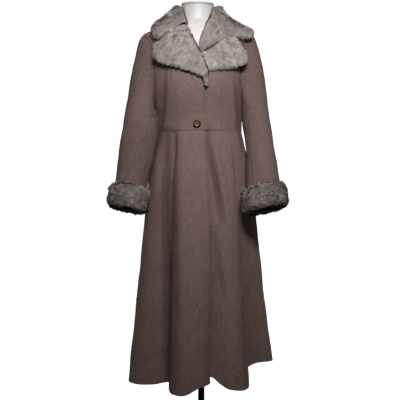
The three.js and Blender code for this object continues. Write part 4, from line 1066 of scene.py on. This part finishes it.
def grow_hair(name, ground, fur, count, flow, seed, density, clumping, shorn_and_darkened):
    """Hairs over a ground mesh as one joined mesh of narrow blades that taper to a tip."""
    rng = np.random.default_rng(seed)
    roots, normals = scatter(ground, count, density, rng)
    swirl = sum(
        strength * np.stack([Ripple(seed + step + k, short, long)(roots) for k in range(3)], -1)
        for strength, step, short, long in HAIR_SWIRLS
    )
    lie = along_skin(flow(roots), normals)
    swirl = along_skin(swirl, normals)
    stray = rng.normal(size=(count, 3)) * 0.2
    tufts = Ripple(seed + 30, 8, 20)(roots)
    length = fur.length / MM * (0.98 + 0.34 * tufts) * rng.uniform(0.75, 1.15, count)
    cut = np.zeros(count) if shorn_and_darkened is None else shorn_and_darkened(roots)
    length = length * (1 - 0.55 * cut)
    lean = lie * fur.lie + swirl * fur.swirl * clumping + stray
    rise = unit(normals + lean * 0.8)
    tip_way = unit(normals * 0.55 + lean * 1.5)
    middle = roots + rise * (length * 0.5)[:, None]
    tips = middle + tip_way * (length * 0.6)[:, None]
    # Each blade lies with its flat face outwards
    across = unit(np.cross(normals, rise) + rng.normal(size=(count, 3)) * 0.12)
    outward = row_dots(np.cross(across, rise), normals)
    across = across * np.where(outward < 0, -1, 1)[:, None]
    half = across * (rng.uniform(0.36, 0.62, count)[:, None] * fur.hair_width / MM)
    points = np.stack([roots - half, roots + half, middle - half, middle + half, tips], 1)
    start = np.arange(count)[:, None] * 5
    quads = (start + np.array([0, 1, 3, 2])).tolist()
    ends = (start + np.array([2, 3, 4])).tolist()
    blades = bpy.data.meshes.new(name)
    blades.from_pydata(in_frame(points.reshape(-1, 3)).tolist(), [], quads + ends)
    patches = Ripple(seed + 40, 22, 60)(roots)
    # Shorn hairs are also painted darker: painted shade where the collar rolls up beside the neck, and darker
    # down the top lapel's tail
    tone = 0.5 + 0.2 * tufts + 0.3 * patches + 0.4 * (rng.random(count) - 0.5) - 0.7 * cut
    mark_points(blades, "along", np.tile([0, 0, 0.55, 0.55, 1.0], count))
    mark_points(blades, "tone", np.repeat(tone, 5))
    blades.polygons.foreach_set("use_smooth", np.ones(len(blades.polygons), bool))
    # Hairs at the rim of a piece catch the light from before it as much as those in its middle
    behind = 2 * smoothstep(0.1, 0.5, normals[:, 1]) - 1
    toward = np.stack([np.zeros(count), 0.9 * behind, np.full(count, 0.3)], -1)
    soft = unit(np.repeat(normals * 0.65 + tip_way * 0.35 + toward * 0.55, 5, axis=0))
    blades.normals_split_custom_set_from_vertices(soft.tolist())
    return new_object(name, blades)


def away_density(away, normals, least, low, high):
    """Full on the faces that look away and thin on the others."""
    return least + (1 - least) * smoothstep(low, high, row_dots(away, normals))


def outward_density(points, normals):
    """How densely hair grows on a piece laid on the body."""
    away = unit(points * np.array([1, 1.4, 0]) + np.array([0, -20, 0]))
    return away_density(away, normals, 0.25, -0.35, 0.05)


def collar_density(points, normals):
    """How densely hair grows on the collar, more so on its stand."""
    stand = 0.6 * smoothstep(1300, 1325, points[:, 2])
    return np.maximum(0.3, outward_density(points, normals) + stand)


def cuff_density(middle):
    """How densely hair grows on a cuff round its middle line."""

    def density(points, normals):
        return away_density(unit((points - middle) * np.array([1, 1, 0])), normals, 0.12, -0.5, 0.0)

    return density


def collar_flow(roots):
    """The collar's hair falls outwards and down."""
    outward = unit(roots * np.array([1, 1, 0]) + np.array([0, 0, 1e-6]))
    return unit(outward * 0.7 + np.array([0, 0, -0.8]))


def even_flow(way):
    """The same way for the hair all over a piece."""

    def flow(roots):
        return np.tile(way, (len(roots), 1))

    return flow


def collar_show(middles):
    """Which side of a grid of middle points looks out."""
    outward = middles[:, -8:] * np.array([1, 1, 0])
    return math.copysign(1, float(np.einsum("ijk,ijk->", grid_normals(middles)[:, -8:], outward)))


def roll_share(points):
    """How far a point on the collar lies where it rolls up beside the neck, where its hair is shorter and has
    painted shade.
    """
    return 0.9 * smoothstep(84, 50, np.abs(points[:, 0])) * smoothstep(1206, 1240, points[:, 2])


def tail_share(points):
    """How far a point on the top lapel lies down its narrow tail."""
    return smoothstep(1128, 1104, points[:, 2]) * smoothstep(0, 14, points[:, 0])


# ---- Shader node groups ----


def new_group(name, inputs, outputs):
    """An empty shader group with named sockets."""
    group = bpy.data.node_groups.new(name, "ShaderNodeTree")
    for label, kind, value in inputs:
        group.interface.new_socket(label, in_out="INPUT", socket_type=kind).default_value = value
    for label, kind in outputs:
        group.interface.new_socket(label, in_out="OUTPUT", socket_type=kind)
    return group, group.nodes.new("NodeGroupInput"), group.nodes.new("NodeGroupOutput")


class Wires:
    """Short ways to add and join nodes in one tree."""

    def __init__(self, tree):
        self.tree = tree

    def join(self, source, target):
        self.tree.links.new(source, target)

    def feed(self, socket, value):
        """Joins a socket to another, or sets it to a plain value."""
        if isinstance(value, bpy.types.NodeSocket):
            self.join(value, socket)
        else:
            socket.default_value = value

    def add(self, kind, settings=None, **values):
        node = self.tree.nodes.new(kind)
        for key, value in (settings or {}).items():
            setattr(node, key, value)
        for key, value in values.items():
            self.feed(node.inputs[key.replace("_", " ")], value)
        return node

    def noise(self, place, scale, detail, roughness):
        node = self.add("ShaderNodeTexNoise", Vector=place, Scale=scale, Detail=detail, Roughness=roughness)
        return node.outputs["Fac"]

    def math(self, operation, first, second):
        node = self.add("ShaderNodeMath", {"operation": operation})
        self.feed(node.inputs[0], first)
        self.feed(node.inputs[1], second)
        return node.outputs[0]

    def weighed(self, first, first_share, second, second_share):
        """The sum of two values, each in its own share."""
        first, second = self.math("MULTIPLY", first, first_share), self.math("MULTIPLY", second, second_share)
        return self.math("ADD", first, second)

    def ranged(self, value, low, high, to_low, to_high):
        limits = {"From Min": low, "From Max": high, "To Min": to_low, "To Max": to_high}
        return self.add("ShaderNodeMapRange", Value=value, **limits).outputs["Result"]

    def mix(self, share, first, second, blend="MIX"):
        node = self.add("ShaderNodeMix", {"data_type": "RGBA", "blend_type": blend})
        for index, value in ((0, share), (6, first), (7, second)):
            self.feed(node.inputs[index], value)
        return node.outputs[2]

    def tinted(self, colour, red, green, blue):
        """A colour multiplied by a plain one."""
        return self.mix(1.0, colour, (red, green, blue, 1), "MULTIPLY")


def wool_group():
    """Brushed wool: colour with fibre flecks, soft mottling and painted shade in creases, and the nap's
    height.
    """
    group, source, sink = new_group(
        "Brushed Wool",
        (
            ("Colour", "NodeSocketColor", (0.13, 0.1, 0.085, 1)),
            ("Fleck", "NodeSocketFloat", 0.5),
            ("Mottle", "NodeSocketFloat", 0.5),
            ("Painted Crease Shade", "NodeSocketFloat", 0.0),
        ),
        (("Colour", "NodeSocketColor"), ("Height", "NodeSocketFloat"), ("Roughness", "NodeSocketFloat")),
    )
    wires = Wires(group)
    place = wires.add("ShaderNodeTexCoord").outputs["Object"]
    stretched = wires.add("ShaderNodeMapping", Vector=place, Scale=(1.0, 1.0, 0.3)).outputs[0]
    fibre = wires.noise(stretched, 900, 4.0, 0.7)
    nap = wires.noise(stretched, 210, 4.0, 0.6)
    patch = wires.noise(place, 46, 3.0, 0.6)
    broad = wires.noise(place, 7, 2.0, 0.5)
    flecks = wires.ranged(wires.weighed(fibre, 0.6, nap, 0.4), 0.32, 0.68, 0.0, 1.0)
    tone = wires.ranged(wires.weighed(patch, 0.6, broad, 0.4), 0.36, 0.64, 0.0, 1.0)
    colour = source.outputs["Colour"]
    flecked = wires.mix(flecks, wires.tinted(colour, 0.62, 0.6, 0.6), wires.tinted(colour, 1.42, 1.42, 1.44))
    base = wires.mix(source.outputs["Fleck"], colour, flecked)
    mottled = wires.mix(tone, wires.tinted(base, 0.86, 0.86, 0.86), wires.tinted(base, 1.13, 1.13, 1.13))
    worn = wires.mix(source.outputs["Mottle"], base, mottled)
    # Painted shade: the wool is darkened where a piece lies deep in a crease
    crease_shaded = wires.mix(source.outputs["Painted Crease Shade"], worn, wires.tinted(worn, 0.4, 0.38, 0.37))
    # Bits of pale lint lie here and there on the nap
    spots = wires.add("ShaderNodeTexVoronoi", Vector=place, Scale=70.0).outputs["Distance"]
    lint = wires.ranged(spots, 0.05, 0.12, 0.75, 0.0)
    wires.join(wires.mix(lint, crease_shaded, (0.42, 0.36, 0.33, 1)), sink.inputs["Colour"])
    wires.join(wires.weighed(fibre, 0.5, nap, 0.8), sink.inputs["Height"])
    wires.join(wires.ranged(nap, 0.3, 0.7, 0.9, 1.0), sink.inputs["Roughness"])
    return group


def fur_group():
    """Fur: colour from root to tip with clumps and hair by hair differences."""
    group, source, sink = new_group(
        "Fur Shade",
        (
            ("Root", "NodeSocketColor", (0.1, 0.09, 0.085, 1)),
            ("Tip", "NodeSocketColor", (0.4, 0.37, 0.35, 1)),
            ("Along", "NodeSocketFloat", 0.0),
            ("Tone", "NodeSocketFloat", 0.5),
            ("Clump", "NodeSocketFloat", 0.5),
        ),
        (("Colour", "NodeSocketColor"), ("Height", "NodeSocketFloat")),
    )
    wires = Wires(group)
    place = wires.add("ShaderNodeTexCoord").outputs["Object"]
    clump = wires.noise(place, 60, 3.0, 0.6)
    broad = wires.noise(place, 17, 2.0, 0.5)
    strand = wires.noise(place, 700, 2.0, 0.6)
    shade = wires.ranged(wires.weighed(clump, 0.65, broad, 0.35), 0.34, 0.66, 0.0, 1.0)
    reach = wires.math("POWER", source.outputs["Along"], 0.8)
    body = wires.mix(reach, source.outputs["Root"], source.outputs["Tip"])
    shaded = wires.mix(shade, wires.tinted(body, 0.66, 0.66, 0.67), wires.tinted(body, 1.24, 1.23, 1.22))
    clumped = wires.mix(source.outputs["Clump"], body, shaded)
    each = wires.ranged(source.outputs["Tone"], -1.0, 1.0, 0.48, 1.16)
    grey = wires.add("ShaderNodeCombineColor", Red=each, Green=each, Blue=each).outputs[0]
    wires.join(wires.mix(1.0, clumped, grey, "MULTIPLY"), sink.inputs["Colour"])
    wires.join(wires.math("ADD", strand, wires.math("MULTIPLY", clump, 0.6)), sink.inputs["Height"])
    return group


def grain_group():
    """A smooth surface's faint unevenness: colour and roughness."""
    group, source, sink = new_group(
        "Faint Grain",
        (
            ("Colour", "NodeSocketColor", (0.8, 0.8, 0.8, 1)),
            ("Scale", "NodeSocketFloat", 30.0),
            ("Amount", "NodeSocketFloat", 0.06),
            ("Roughness", "NodeSocketFloat", 0.5),
        ),
        (("Colour", "NodeSocketColor"), ("Roughness", "NodeSocketFloat"), ("Height", "NodeSocketFloat")),
    )
    wires = Wires(group)
    colour = source.outputs["Colour"]
    place = wires.add("ShaderNodeTexCoord").outputs["Object"]
    grain = wires.noise(place, source.outputs["Scale"], 4.0, 0.6)
    share = wires.ranged(grain, 0.35, 0.7, 0.0, 1.0)
    uneven = wires.mix(share, colour, wires.tinted(colour, 0.72, 0.7, 0.68))
    wires.join(wires.mix(source.outputs["Amount"], colour, uneven), sink.inputs["Colour"])
    spread_by = wires.math("MULTIPLY", wires.math("SUBTRACT", grain, 0.5), 0.25)
    wires.join(wires.math("ADD", source.outputs["Roughness"], spread_by), sink.inputs["Roughness"])
    wires.join(grain, sink.inputs["Height"])
    return group


GROUP_MAKERS = {"Brushed Wool": wool_group, "Fur Shade": fur_group, "Faint Grain": grain_group}


def material(name, group_name, values, shader, bump=0.0, bump_distance=0.001, feeds=()):
    """A Principled material with one of the shared groups ahead of it."""
    made = bpy.data.materials.get(name)
    if made:
        return made
    made = bpy.data.materials.new(name)
    made.use_nodes = True
    wires = Wires(made.node_tree)
    principled = made.node_tree.nodes["Principled BSDF"]
    group = bpy.data.node_groups.get(group_name) or GROUP_MAKERS[group_name]()
    node = wires.add("ShaderNodeGroup", {"node_tree": group})
    for key, value in values.items():
        node.inputs[key].default_value = value
    for attribute, socket in feeds:
        marks = wires.add("ShaderNodeAttribute", {"attribute_name": attribute})
        wires.join(marks.outputs["Fac"], node.inputs[socket])
    for key, value in shader.items():
        principled.inputs[key].default_value = value
    wires.join(node.outputs["Colour"], principled.inputs["Base Color"])
    if "Roughness" in node.outputs:
        wires.join(node.outputs["Roughness"], principled.inputs["Roughness"])
    if bump:
        height = node.outputs["Height"]
        bumped = wires.add("ShaderNodeBump", Strength=bump, Distance=bump_distance, Height=height)
        wires.join(bumped.outputs[0], principled.inputs["Normal"])
    return made


# A shade below 1 gives a darker copy of the wool, painted shade for the sleeves
def wool(name="wool_brushed", shade=1.0):
    return material(
        name,
        "Brushed Wool",
        {"Colour": (*(part * shade for part in WOOL_COLOUR), 1), "Fleck": 0.8, "Mottle": 0.45},
        {
            "Sheen Weight": 0.04,
            "Sheen Roughness": 0.4,
            "Sheen Tint": (0.9, 0.8, 0.74, 1),
            "Specular IOR Level": 0.1,
        },
        feeds=(("painted_crease_shade", "Painted Crease Shade"),),
        bump=0.35,
    )


def fur_hairs(kind):
    root, tip = FUR_COLOURS[kind]
    return material(
        f"{kind}_fur_hair",
        "Fur Shade",
        {"Root": root, "Tip": tip, "Clump": 0.85},
        {"Roughness": 0.7, "Specular IOR Level": 0.25},
        feeds=(("along", "Along"), ("tone", "Tone")),
    )


def fur_ground(kind):
    root, tip = FUR_COLOURS[kind]
    return material(
        f"{kind}_fur_ground",
        "Fur Shade",
        {"Root": root, "Tip": tip, "Along": 0.5, "Clump": 0.6},
        {"Roughness": 0.95, "Specular IOR Level": 0.1},
        bump=0.8,
        bump_distance=0.002,
    )


def grained(name, colour, scale, amount, roughness, shader):
    """A smooth finish with a faint grain."""
    values = {"Colour": (*colour, 1), "Scale": scale, "Amount": amount, "Roughness": roughness}
    return material(name, "Faint Grain", values, shader)


# ---- Dressed pieces ----


def dress(piece, finish, slot, *nodes):
    """Gives a piece its material and body, and hides the solids it stands for."""
    piece.data.materials.clear()
    piece.data.materials.append(finish)
    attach(piece, "root")
    if nodes:
        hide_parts(*nodes)


def flat_cut(skin):
    """Width, length and area of a grid of points laid flat, in metres."""
    along = np.linalg.norm(np.diff(skin, axis=0), axis=-1).sum(0).max() * MM
    across = np.linalg.norm(np.diff(skin, axis=1), axis=-1).sum(1).max() * MM
    sides = skin[1:, 1:] - skin[:-1, :-1], skin[1:, :-1] - skin[:-1, 1:]
    area = np.linalg.norm(np.cross(*sides), axis=-1).sum() / 2 * MM**2
    return across, along, min(area, across * along)


def declare_sheet(skin):
    """Works out the flat width, length and area of a piece from the grid of its outer skin; nothing is done
    with them.
    """
    width, length, area = flat_cut(skin)


def hang_panel(name, rests_on, cloth, levels, start_of, end_of, count, **options):
    """A wool panel between two seams."""
    outer, inner = panel_skins(levels, start_of, end_of, count, cloth, **options)
    first, last = options.get("cuts", (False, False))
    piece = add_piece(f"{name}_cloth", *wall(outer, inner, ends=(not first, not last)))
    # Painted shade in the troughs of the creases
    paint_crease_shade(piece, CREASES)
    dress(piece, wool(), "wool", name)
    declare_sheet(outer)


def furred(name, kind, points, quads, skin, fur, count, flow, seed, density, rests_on, shorn_and_darkened=None):
    """A piece of fur cloth: its ground and the hair on it."""
    ground = add_piece(f"{name}_fur", points, quads)
    dress(ground, fur_ground(kind), "fur", name)
    clumping = CUFF_CLUMPING if kind == "cuff" else 1.0
    hair = grow_hair(f"{name}_hair", ground, fur, count, flow, seed, density, clumping, shorn_and_darkened)
    dress(hair, fur_hairs(kind), "fur")
    declare_sheet(skin)


def area_lamp(name, place, target, size, power):
    data = bpy.data.lights.new(name, "AREA")
    data.shape = "RECTANGLE"
    data.size, data.size_y = size
    data.energy = power
    lamp = new_object(name, data)
    lamp.visible_camera = False
    lamp.location = place
    lamp.rotation_euler = (Vector(target) - Vector(place)).to_track_quat("-Z", "Y").to_euler()
    return lamp


# ---- Settings ----


class ClothSettings(bpy.types.PropertyGroup):
    thickness: FloatProperty(
        name="Thickness", description="Thickness of the wool",
        default=0.003, min=0.001, max=0.006, unit="LENGTH",
    )
    seam_dip: FloatProperty(
        name="Seam dip", description="How deep the cloth dips at a seam",
        default=0.0009, min=0, max=0.003, unit="LENGTH",
    )
    crease: FloatProperty(
        name="Creases", description="Strength of the creases laid by hand",
        default=1.0, min=0, max=2, subtype="FACTOR",
    )
    uneven: FloatProperty(
        name="Unevenness", description="Strength of the cloth's soft unevenness",
        default=1.0, min=0, max=3, subtype="FACTOR",
    )


class FurSettings(bpy.types.PropertyGroup):
    length: FloatProperty(
        name="Hair length", description="Length of the fur's hair",
        default=0.0078, min=0.001, max=0.02, unit="LENGTH",
    )
    hair_width: FloatProperty(
        name="Hair width", description="Width of a drawn hair",
        default=0.0011, min=0.0002, max=0.004, unit="LENGTH",
    )
    lie: FloatProperty(
        name="Lie", description="How much the hair is brushed flat",
        default=0.7, min=0, max=2, subtype="FACTOR",
    )
    swirl: FloatProperty(
        name="Swirl", description="How much the hair parts and clumps",
        default=0.4, min=0, max=2, subtype="FACTOR",
    )
    collar_hairs: IntProperty(
        name="Collar hairs", description="Hairs on the collar", default=65000, min=100, subtype="UNSIGNED"
    )
    lapel_hairs: IntProperty(
        name="Lapel hairs", description="Hairs on each lapel", default=34000, min=100, subtype="UNSIGNED"
    )
    cuff_hairs: IntProperty(
        name="Cuff hairs", description="Hairs on each cuff", default=46000, min=100, subtype="UNSIGNED"
    )


class StageSettings(bpy.types.PropertyGroup):
    key_power: FloatProperty(
        name="Key", description="Power of the lamp above the front", default=6.2, min=0, unit="POWER"
    )
    top_power: FloatProperty(
        name="Top", description="Power of the lamp overhead", default=2.5, min=0, unit="POWER"
    )
    back_power: FloatProperty(
        name="Back light", description="Power of the lamp behind", default=9, min=0, unit="POWER"
    )
    fill: FloatProperty(
        name="Fill", description="Strength of the even light all round", default=0.08, min=0, subtype="FACTOR"
    )


# ---- Operators ----


class OVERCOAT_OT_bodice(bpy.types.Operator):
    """Build the two centre fronts above the waist seam"""

    bl_idname = "overcoat.bodice"
    bl_label = "Bodice Fronts"

    def execute(self, context):
        levels, cuts = bodice_levels(), (True, False)
        cloth = context.scene.overcoat_cloth
        for name, start, end, count, options in (
            ("front_right_bodice", right_front, top_front_edge, 26, {"lift": lap_lift, "free": ("end",)}),
            ("front_left_bodice", under_front_edge, left_front, 24, {"free": ("start",)}),
        ):
            hang_panel(name, "form_torso", cloth, levels, start, end, count, cuts=cuts, **options)
        return {"FINISHED"}


class OVERCOAT_OT_skirt(bpy.types.Operator):
    """Build the two skirt fronts below the waist seam"""

    bl_idname = "overcoat.skirt"
    bl_label = "Skirt Fronts"

    def execute(self, context):
        levels, cuts = skirt_levels(), (False, True)
        cloth = context.scene.overcoat_cloth
        raised = {"free": ("start",), "hem_raise": under_hem_raise}
        for side, start, end, count, options in (
            ("right", right_front, top_front_edge, 36, {"lift": lap_lift, "free": ("end",)}),
            ("left", under_front_edge, left_front, 38, raised),
        ):
            name, above = f"front_{side}_skirt", f"front_{side}_bodice"
            hang_panel(name, above, cloth, levels, start, end, count, cuts=cuts, **options)
        return {"FINISHED"}


class OVERCOAT_OT_sides_and_back(bpy.types.Operator):
    """Build the side fronts, side backs and backs, each cut in one from top to hem"""

    bl_idname = "overcoat.sides_and_back"
    bl_label = "Sides and Back"

    def execute(self, context):
        cloth = context.scene.overcoat_cloth
        levels = skirt_levels()[:-1] + bodice_levels()
        for name, start, end, count in (
            ("side_front_right", mirrored(side_front), right_front, 30),
            ("side_front_left", left_front, side_front, 30),
            ("side_back_right", right_back, mirrored(side_back), 26),
            ("side_back_left", side_back, left_back, 26),
            ("back_right", mirrored(middle_back), right_back, 26),
            ("back_left", left_back, middle_back, 26),
        ):
            hang_panel(name, "form_torso", cloth, levels, start, end, count)
        return {"FINISHED"}


class OVERCOAT_OT_sleeves(bpy.types.Operator):
    """Build both two-piece sleeves"""

    bl_idname = "overcoat.sleeves"
    bl_label = "Sleeves"

    def execute(self, context):
        cloth = context.scene.overcoat_cloth
        for label, table, side, creases, painted_crease_shades in (
            ("right", RIGHT_SLEEVE, -1, RIGHT_SLEEVE_CREASES, RIGHT_SLEEVE_PAINTED_SHADE),
            ("left", LEFT_SLEEVE, 1, LEFT_SLEEVE_CREASES, LEFT_SLEEVE_PAINTED_SHADE),
        ):
            # Each sleeve gets a darker copy of the wool: painted shade
            finish = wool(f"wool_sleeve_painted_shade_{label}", SLEEVE_PAINTED_SHADE[label])
            for half, (outer, inner) in zip(("upper", "under"), sleeve_halves(table, side, cloth, creases)):
                name = f"sleeve_{half}_{label}"
                piece = add_piece(f"{name}_cloth", *wall(outer, inner, ends=(False, True)))
                # Painted shade in the troughs of the sleeves' creases
                paint_crease_shade(piece, painted_crease_shades)
                dress(piece, finish, "wool", name)
                declare_sheet(outer)
        return {"FINISHED"}


class OVERCOAT_OT_collar(bpy.types.Operator):
    """Build the fur collar"""

    bl_idname = "overcoat.collar"
    bl_label = "Collar"

    def execute(self, context):
        fur = context.scene.overcoat_fur
        middles, depths = collar_middles(*(np.linspace(*places) for places in COLLAR_GRID))
        up, down = pad_skins(middles, depths, collar_show(middles), fur.length / MM * PAD_SINK)
        rests_on = ["side_front_right", "side_front_left", "back_right", "back_left"]
        furred(
            "collar", "collar", *wall(up, down), up, fur, fur.collar_hairs,
            collar_flow, 100, collar_density, rests_on, roll_share,
        )
        return {"FINISHED"}


class OVERCOAT_OT_lapels(bpy.types.Operator):
    """Build both fur lapels"""

    bl_idname = "overcoat.lapels"
    bl_label = "Lapels"

    def execute(self, context):
        fur = context.scene.overcoat_fur
        for name, maker, places, rests_on, seed, sign, shorn_and_darkened in (
            ("lapel_right", top_lapel_middles, (0.12, 8.75, 74), "front_right_bodice", 200, -1, tail_share),
            ("lapel_left", under_lapel_middles, (0.0, 7.86, 60), "front_left_bodice", 300, 1, None),
        ):
            middles, depths = maker(np.linspace(*places), np.linspace(*LAPEL_ACROSS))
            show = -1 if grid_normals(middles)[..., 1].mean() > 0 else 1
            up, down = pad_skins(middles, depths, show, fur.length / MM * PAD_SINK)
            flow = even_flow(unit(np.array([0.75 * sign, -0.1, -0.55])))
            furred(
                name, "lapel", *wall(up, down), up, fur, fur.lapel_hairs,
                flow, seed, outward_density, [rests_on], shorn_and_darkened,
            )
        return {"FINISHED"}


class OVERCOAT_OT_cuffs(bpy.types.Operator):
    """Build both turned-back fur cuffs"""

    bl_idname = "overcoat.cuffs"
    bl_label = "Cuffs"

    def execute(self, context):
        fur = context.scene.overcoat_fur
        for label, table, side, share, seed in (
            ("right", RIGHT_SLEEVE, -1, 0.4, 400),
            ("left", LEFT_SLEEVE, 1, 1.0, 500),
        ):
            skins = cuff_skins(table, side, share, fur.length / MM * CUFF_SINK)
            middle = np.array([side * float(np.mean([r[1] + r[2] for r in table[-2:]]) / 2), table[-1][3], 0])
            furred(
                f"cuff_{label}", "cuff", *skins, fur, fur.cuff_hairs, even_flow([0.0, 0.0, -1.0]),
                seed, cuff_density(middle), [f"sleeve_upper_{label}", f"sleeve_under_{label}"],
            )
        return {"FINISHED"}


class OVERCOAT_OT_button(bpy.types.Operator):
    """Build the button with its rim and dished middle"""

    bl_idname = "overcoat.button"
    bl_label = "Button"

    def execute(self, context):
        face = [(BUTTON_RADIUS * share, height) for share, height in BUTTON_FACE]
        profile = [*BUTTON_FOOT, *face, BUTTON_MIDDLE]
        angles = angles_round(BUTTON_AROUND)[:, None]
        level = BUTTON_HEIGHT - WAIST
        turn = turn_at(BUTTON_X, level)
        normal = body_normals(turn, level)
        foot = body_points(turn, level) + normal * (LAP_LIFT + 0.35)
        up = unit(np.array([0, 0, 1.0]) - normal * normal[2])
        aside = np.cross(up, normal)
        ring = np.cos(angles) * aside + np.sin(angles) * up
        rings = np.array([foot + normal * along + ring * across for across, along in profile])
        piece = add_piece("button_turned", rings.reshape(-1, 3), tube_quads(*rings.shape[:2]))
        rim = grained("button_rim", (0.016, 0.008, 0.005), 160.0, 0.5, 0.35, {"Specular IOR Level": 0.35})
        dish_coat = {"Coat Weight": 0.3, "Coat Roughness": 0.15}
        dish = grained("button_dish", (0.16, 0.095, 0.062), 160.0, 0.7, 0.25, dish_coat)
        dress(piece, rim, "button", "button")
        piece.data.materials.append(dish)
        centre = Vector(in_frame(foot + normal * 4.5))
        for face in piece.data.polygons:
            near = (face.center - centre).length < BUTTON_RADIUS * 0.7 * MM
            if near and face.normal.dot(Vector(normal)) > 0.3:
                face.material_index = 1
        return {"FINISHED"}


class OVERCOAT_OT_form(bpy.types.Operator):
    """Finish the dress form, its pole and its base"""

    bl_idname = "overcoat.form"
    bl_label = "Dress Form"

    def execute(self, context):
        white = grained("form_white", (0.66, 0.645, 0.64), 14.0, 0.1, 0.42, {"Specular IOR Level": 0.4})
        black = grained("stand_black", (0.012, 0.012, 0.012), 40.0, 0.3, 0.4, {"Metallic": 0.2})
        for name, finish, slot, levels in (
            ("form_torso", white, "form", 2),
            ("form_neck_cap", white, "form", 2),
            ("form_pole", black, "stand", 0),
            ("form_base", black, "stand", 0),
        ):
            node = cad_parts[name]
            node.data.materials.clear()
            node.data.materials.append(finish)
            node.data.polygons.foreach_set("use_smooth", np.ones(len(node.data.polygons), bool))
            weld = node.modifiers.new("join", "WELD")
            weld.merge_threshold = 1e-5
            bevel = node.modifiers.new("soft edges", "BEVEL")
            bevel.width = 0.0012
            bevel.segments = 3
            bevel.angle_limit = math.radians(50)
            if levels:
                smooth = node.modifiers.new("smooth", "SUBSURF")
                smooth.levels = smooth.render_levels = levels
        return {"FINISHED"}


class OVERCOAT_OT_stage(bpy.types.Operator):
    """Set the pale floor, the soft light and the camera"""

    bl_idname = "overcoat.stage"
    bl_label = "Stage"

    def execute(self, context):
        stage = context.scene.overcoat_stage
        half_width, front, bend, radius, top = BACKDROP
        profile = [(front, 0.0), (0.6, 0.0), (bend, 0.0)]
        for angle in np.linspace(0.15, math.pi / 2, 12):
            profile.append((bend + radius * math.sin(angle), radius - radius * math.cos(angle)))
        profile.append((bend + radius, top))
        points = [(x, y, z) for y, z in profile for x in (-half_width, half_width)]
        faces = [(2 * k, 2 * k + 1, 2 * k + 3, 2 * k + 2) for k in range(len(profile) - 1)]
        mesh = bpy.data.meshes.new("backdrop")
        mesh.from_pydata(points, [], faces)
        mesh.polygons.foreach_set("use_smooth", np.ones(len(faces), bool))
        backdrop = new_object("backdrop", mesh)
        shader = {"Specular IOR Level": 0.0, "Emission Color": (1, 1, 1, 1)}
        paper = grained("backdrop", (0.9, 0.9, 0.9), 3.0, 0.0, 0.9, shader)
        # The paper is white for the camera alone, so that it doesn't light the coat from below
        wires = Wires(paper.node_tree)
        principled = paper.node_tree.nodes["Principled BSDF"]
        seen = wires.add("ShaderNodeLightPath").outputs["Is Camera Ray"]
        wires.join(wires.math("MULTIPLY", seen, 0.95), principled.inputs["Emission Strength"])
        facing = wires.math("SUBTRACT", 1.0, wires.add("ShaderNodeNewGeometry").outputs["Backfacing"])
        wires.join(facing, principled.inputs["Alpha"])
        shown = principled.inputs["Base Color"].links[0].from_socket
        wires.join(wires.mix(seen, (0.25, 0.25, 0.25, 1), shown), principled.inputs["Base Color"])
        mesh.materials.append(paper)
        world = bpy.data.worlds.new("studio")
        world.use_nodes = True
        background = world.node_tree.nodes["Background"]
        background.inputs[0].default_value = (1, 1, 1, 1)
        sky = Wires(world.node_tree)
        shown = sky.add("ShaderNodeLightPath").outputs["Is Camera Ray"]
        sky.join(sky.ranged(shown, 0.0, 1.0, stage.fill, 1.0), background.inputs[1])
        context.scene.world = world
        for name, setting, share, place, aim, size in LAMPS:
            lamp = area_lamp(name, place, aim, size, share * getattr(stage, setting))
            if name == "key":
                lamp.data.spread = math.radians(KEY_SPREAD)
        context.scene.view_settings.view_transform = "Standard"
        data = bpy.data.cameras.new("camera")
        data.lens, data.sensor_width = CAMERA_LENS, SENSOR_WIDTH
        camera = new_object("camera", data)
        camera.location = CAMERA_PLACE
        camera.rotation_euler = (math.radians(90), 0, 0)
        context.scene.camera = camera
        return {"FINISHED"}


class OVERCOAT_PT_sidebar(bpy.types.Panel):
    """The coat's parts, one button each"""

    bl_idname = "OVERCOAT_PT_sidebar"
    bl_label = "Overcoat"
    bl_space_type = "VIEW_3D"
    bl_region_type = "UI"
    bl_category = "Overcoat"

    def draw(self, context):
        for group in (context.scene.overcoat_cloth, context.scene.overcoat_fur, context.scene.overcoat_stage):
            box = self.layout.box()
            for key in group.__annotations__:
                box.prop(group, key)
        for step in STEPS:
            self.layout.operator(step.bl_idname)


STEPS = (
    OVERCOAT_OT_bodice,
    OVERCOAT_OT_skirt,
    OVERCOAT_OT_sides_and_back,
    OVERCOAT_OT_sleeves,
    OVERCOAT_OT_collar,
    OVERCOAT_OT_lapels,
    OVERCOAT_OT_cuffs,
    OVERCOAT_OT_button,
    OVERCOAT_OT_form,
    OVERCOAT_OT_stage,
)
CLASSES = (ClothSettings, FurSettings, StageSettings, *STEPS, OVERCOAT_PT_sidebar)


def register():
    for item in CLASSES:
        bpy.utils.register_class(item)
    bpy.types.Scene.overcoat_cloth = PointerProperty(type=ClothSettings)
    bpy.types.Scene.overcoat_fur = PointerProperty(type=FurSettings)
    bpy.types.Scene.overcoat_stage = PointerProperty(type=StageSettings)


def unregister():
    del bpy.types.Scene.overcoat_stage
    del bpy.types.Scene.overcoat_fur
    del bpy.types.Scene.overcoat_cloth
    for item in reversed(CLASSES):
        bpy.utils.unregister_class(item)


def main():
    register()
    bpy.ops.overcoat.bodice()
    bpy.ops.overcoat.skirt()
    bpy.ops.overcoat.sides_and_back()
    bpy.ops.overcoat.sleeves()
    bpy.ops.overcoat.collar()
    bpy.ops.overcoat.lapels()
    bpy.ops.overcoat.cuffs()
    bpy.ops.overcoat.button()
    bpy.ops.overcoat.form()
    bpy.ops.overcoat.stage()


if __name__ == "__main__":
    main()
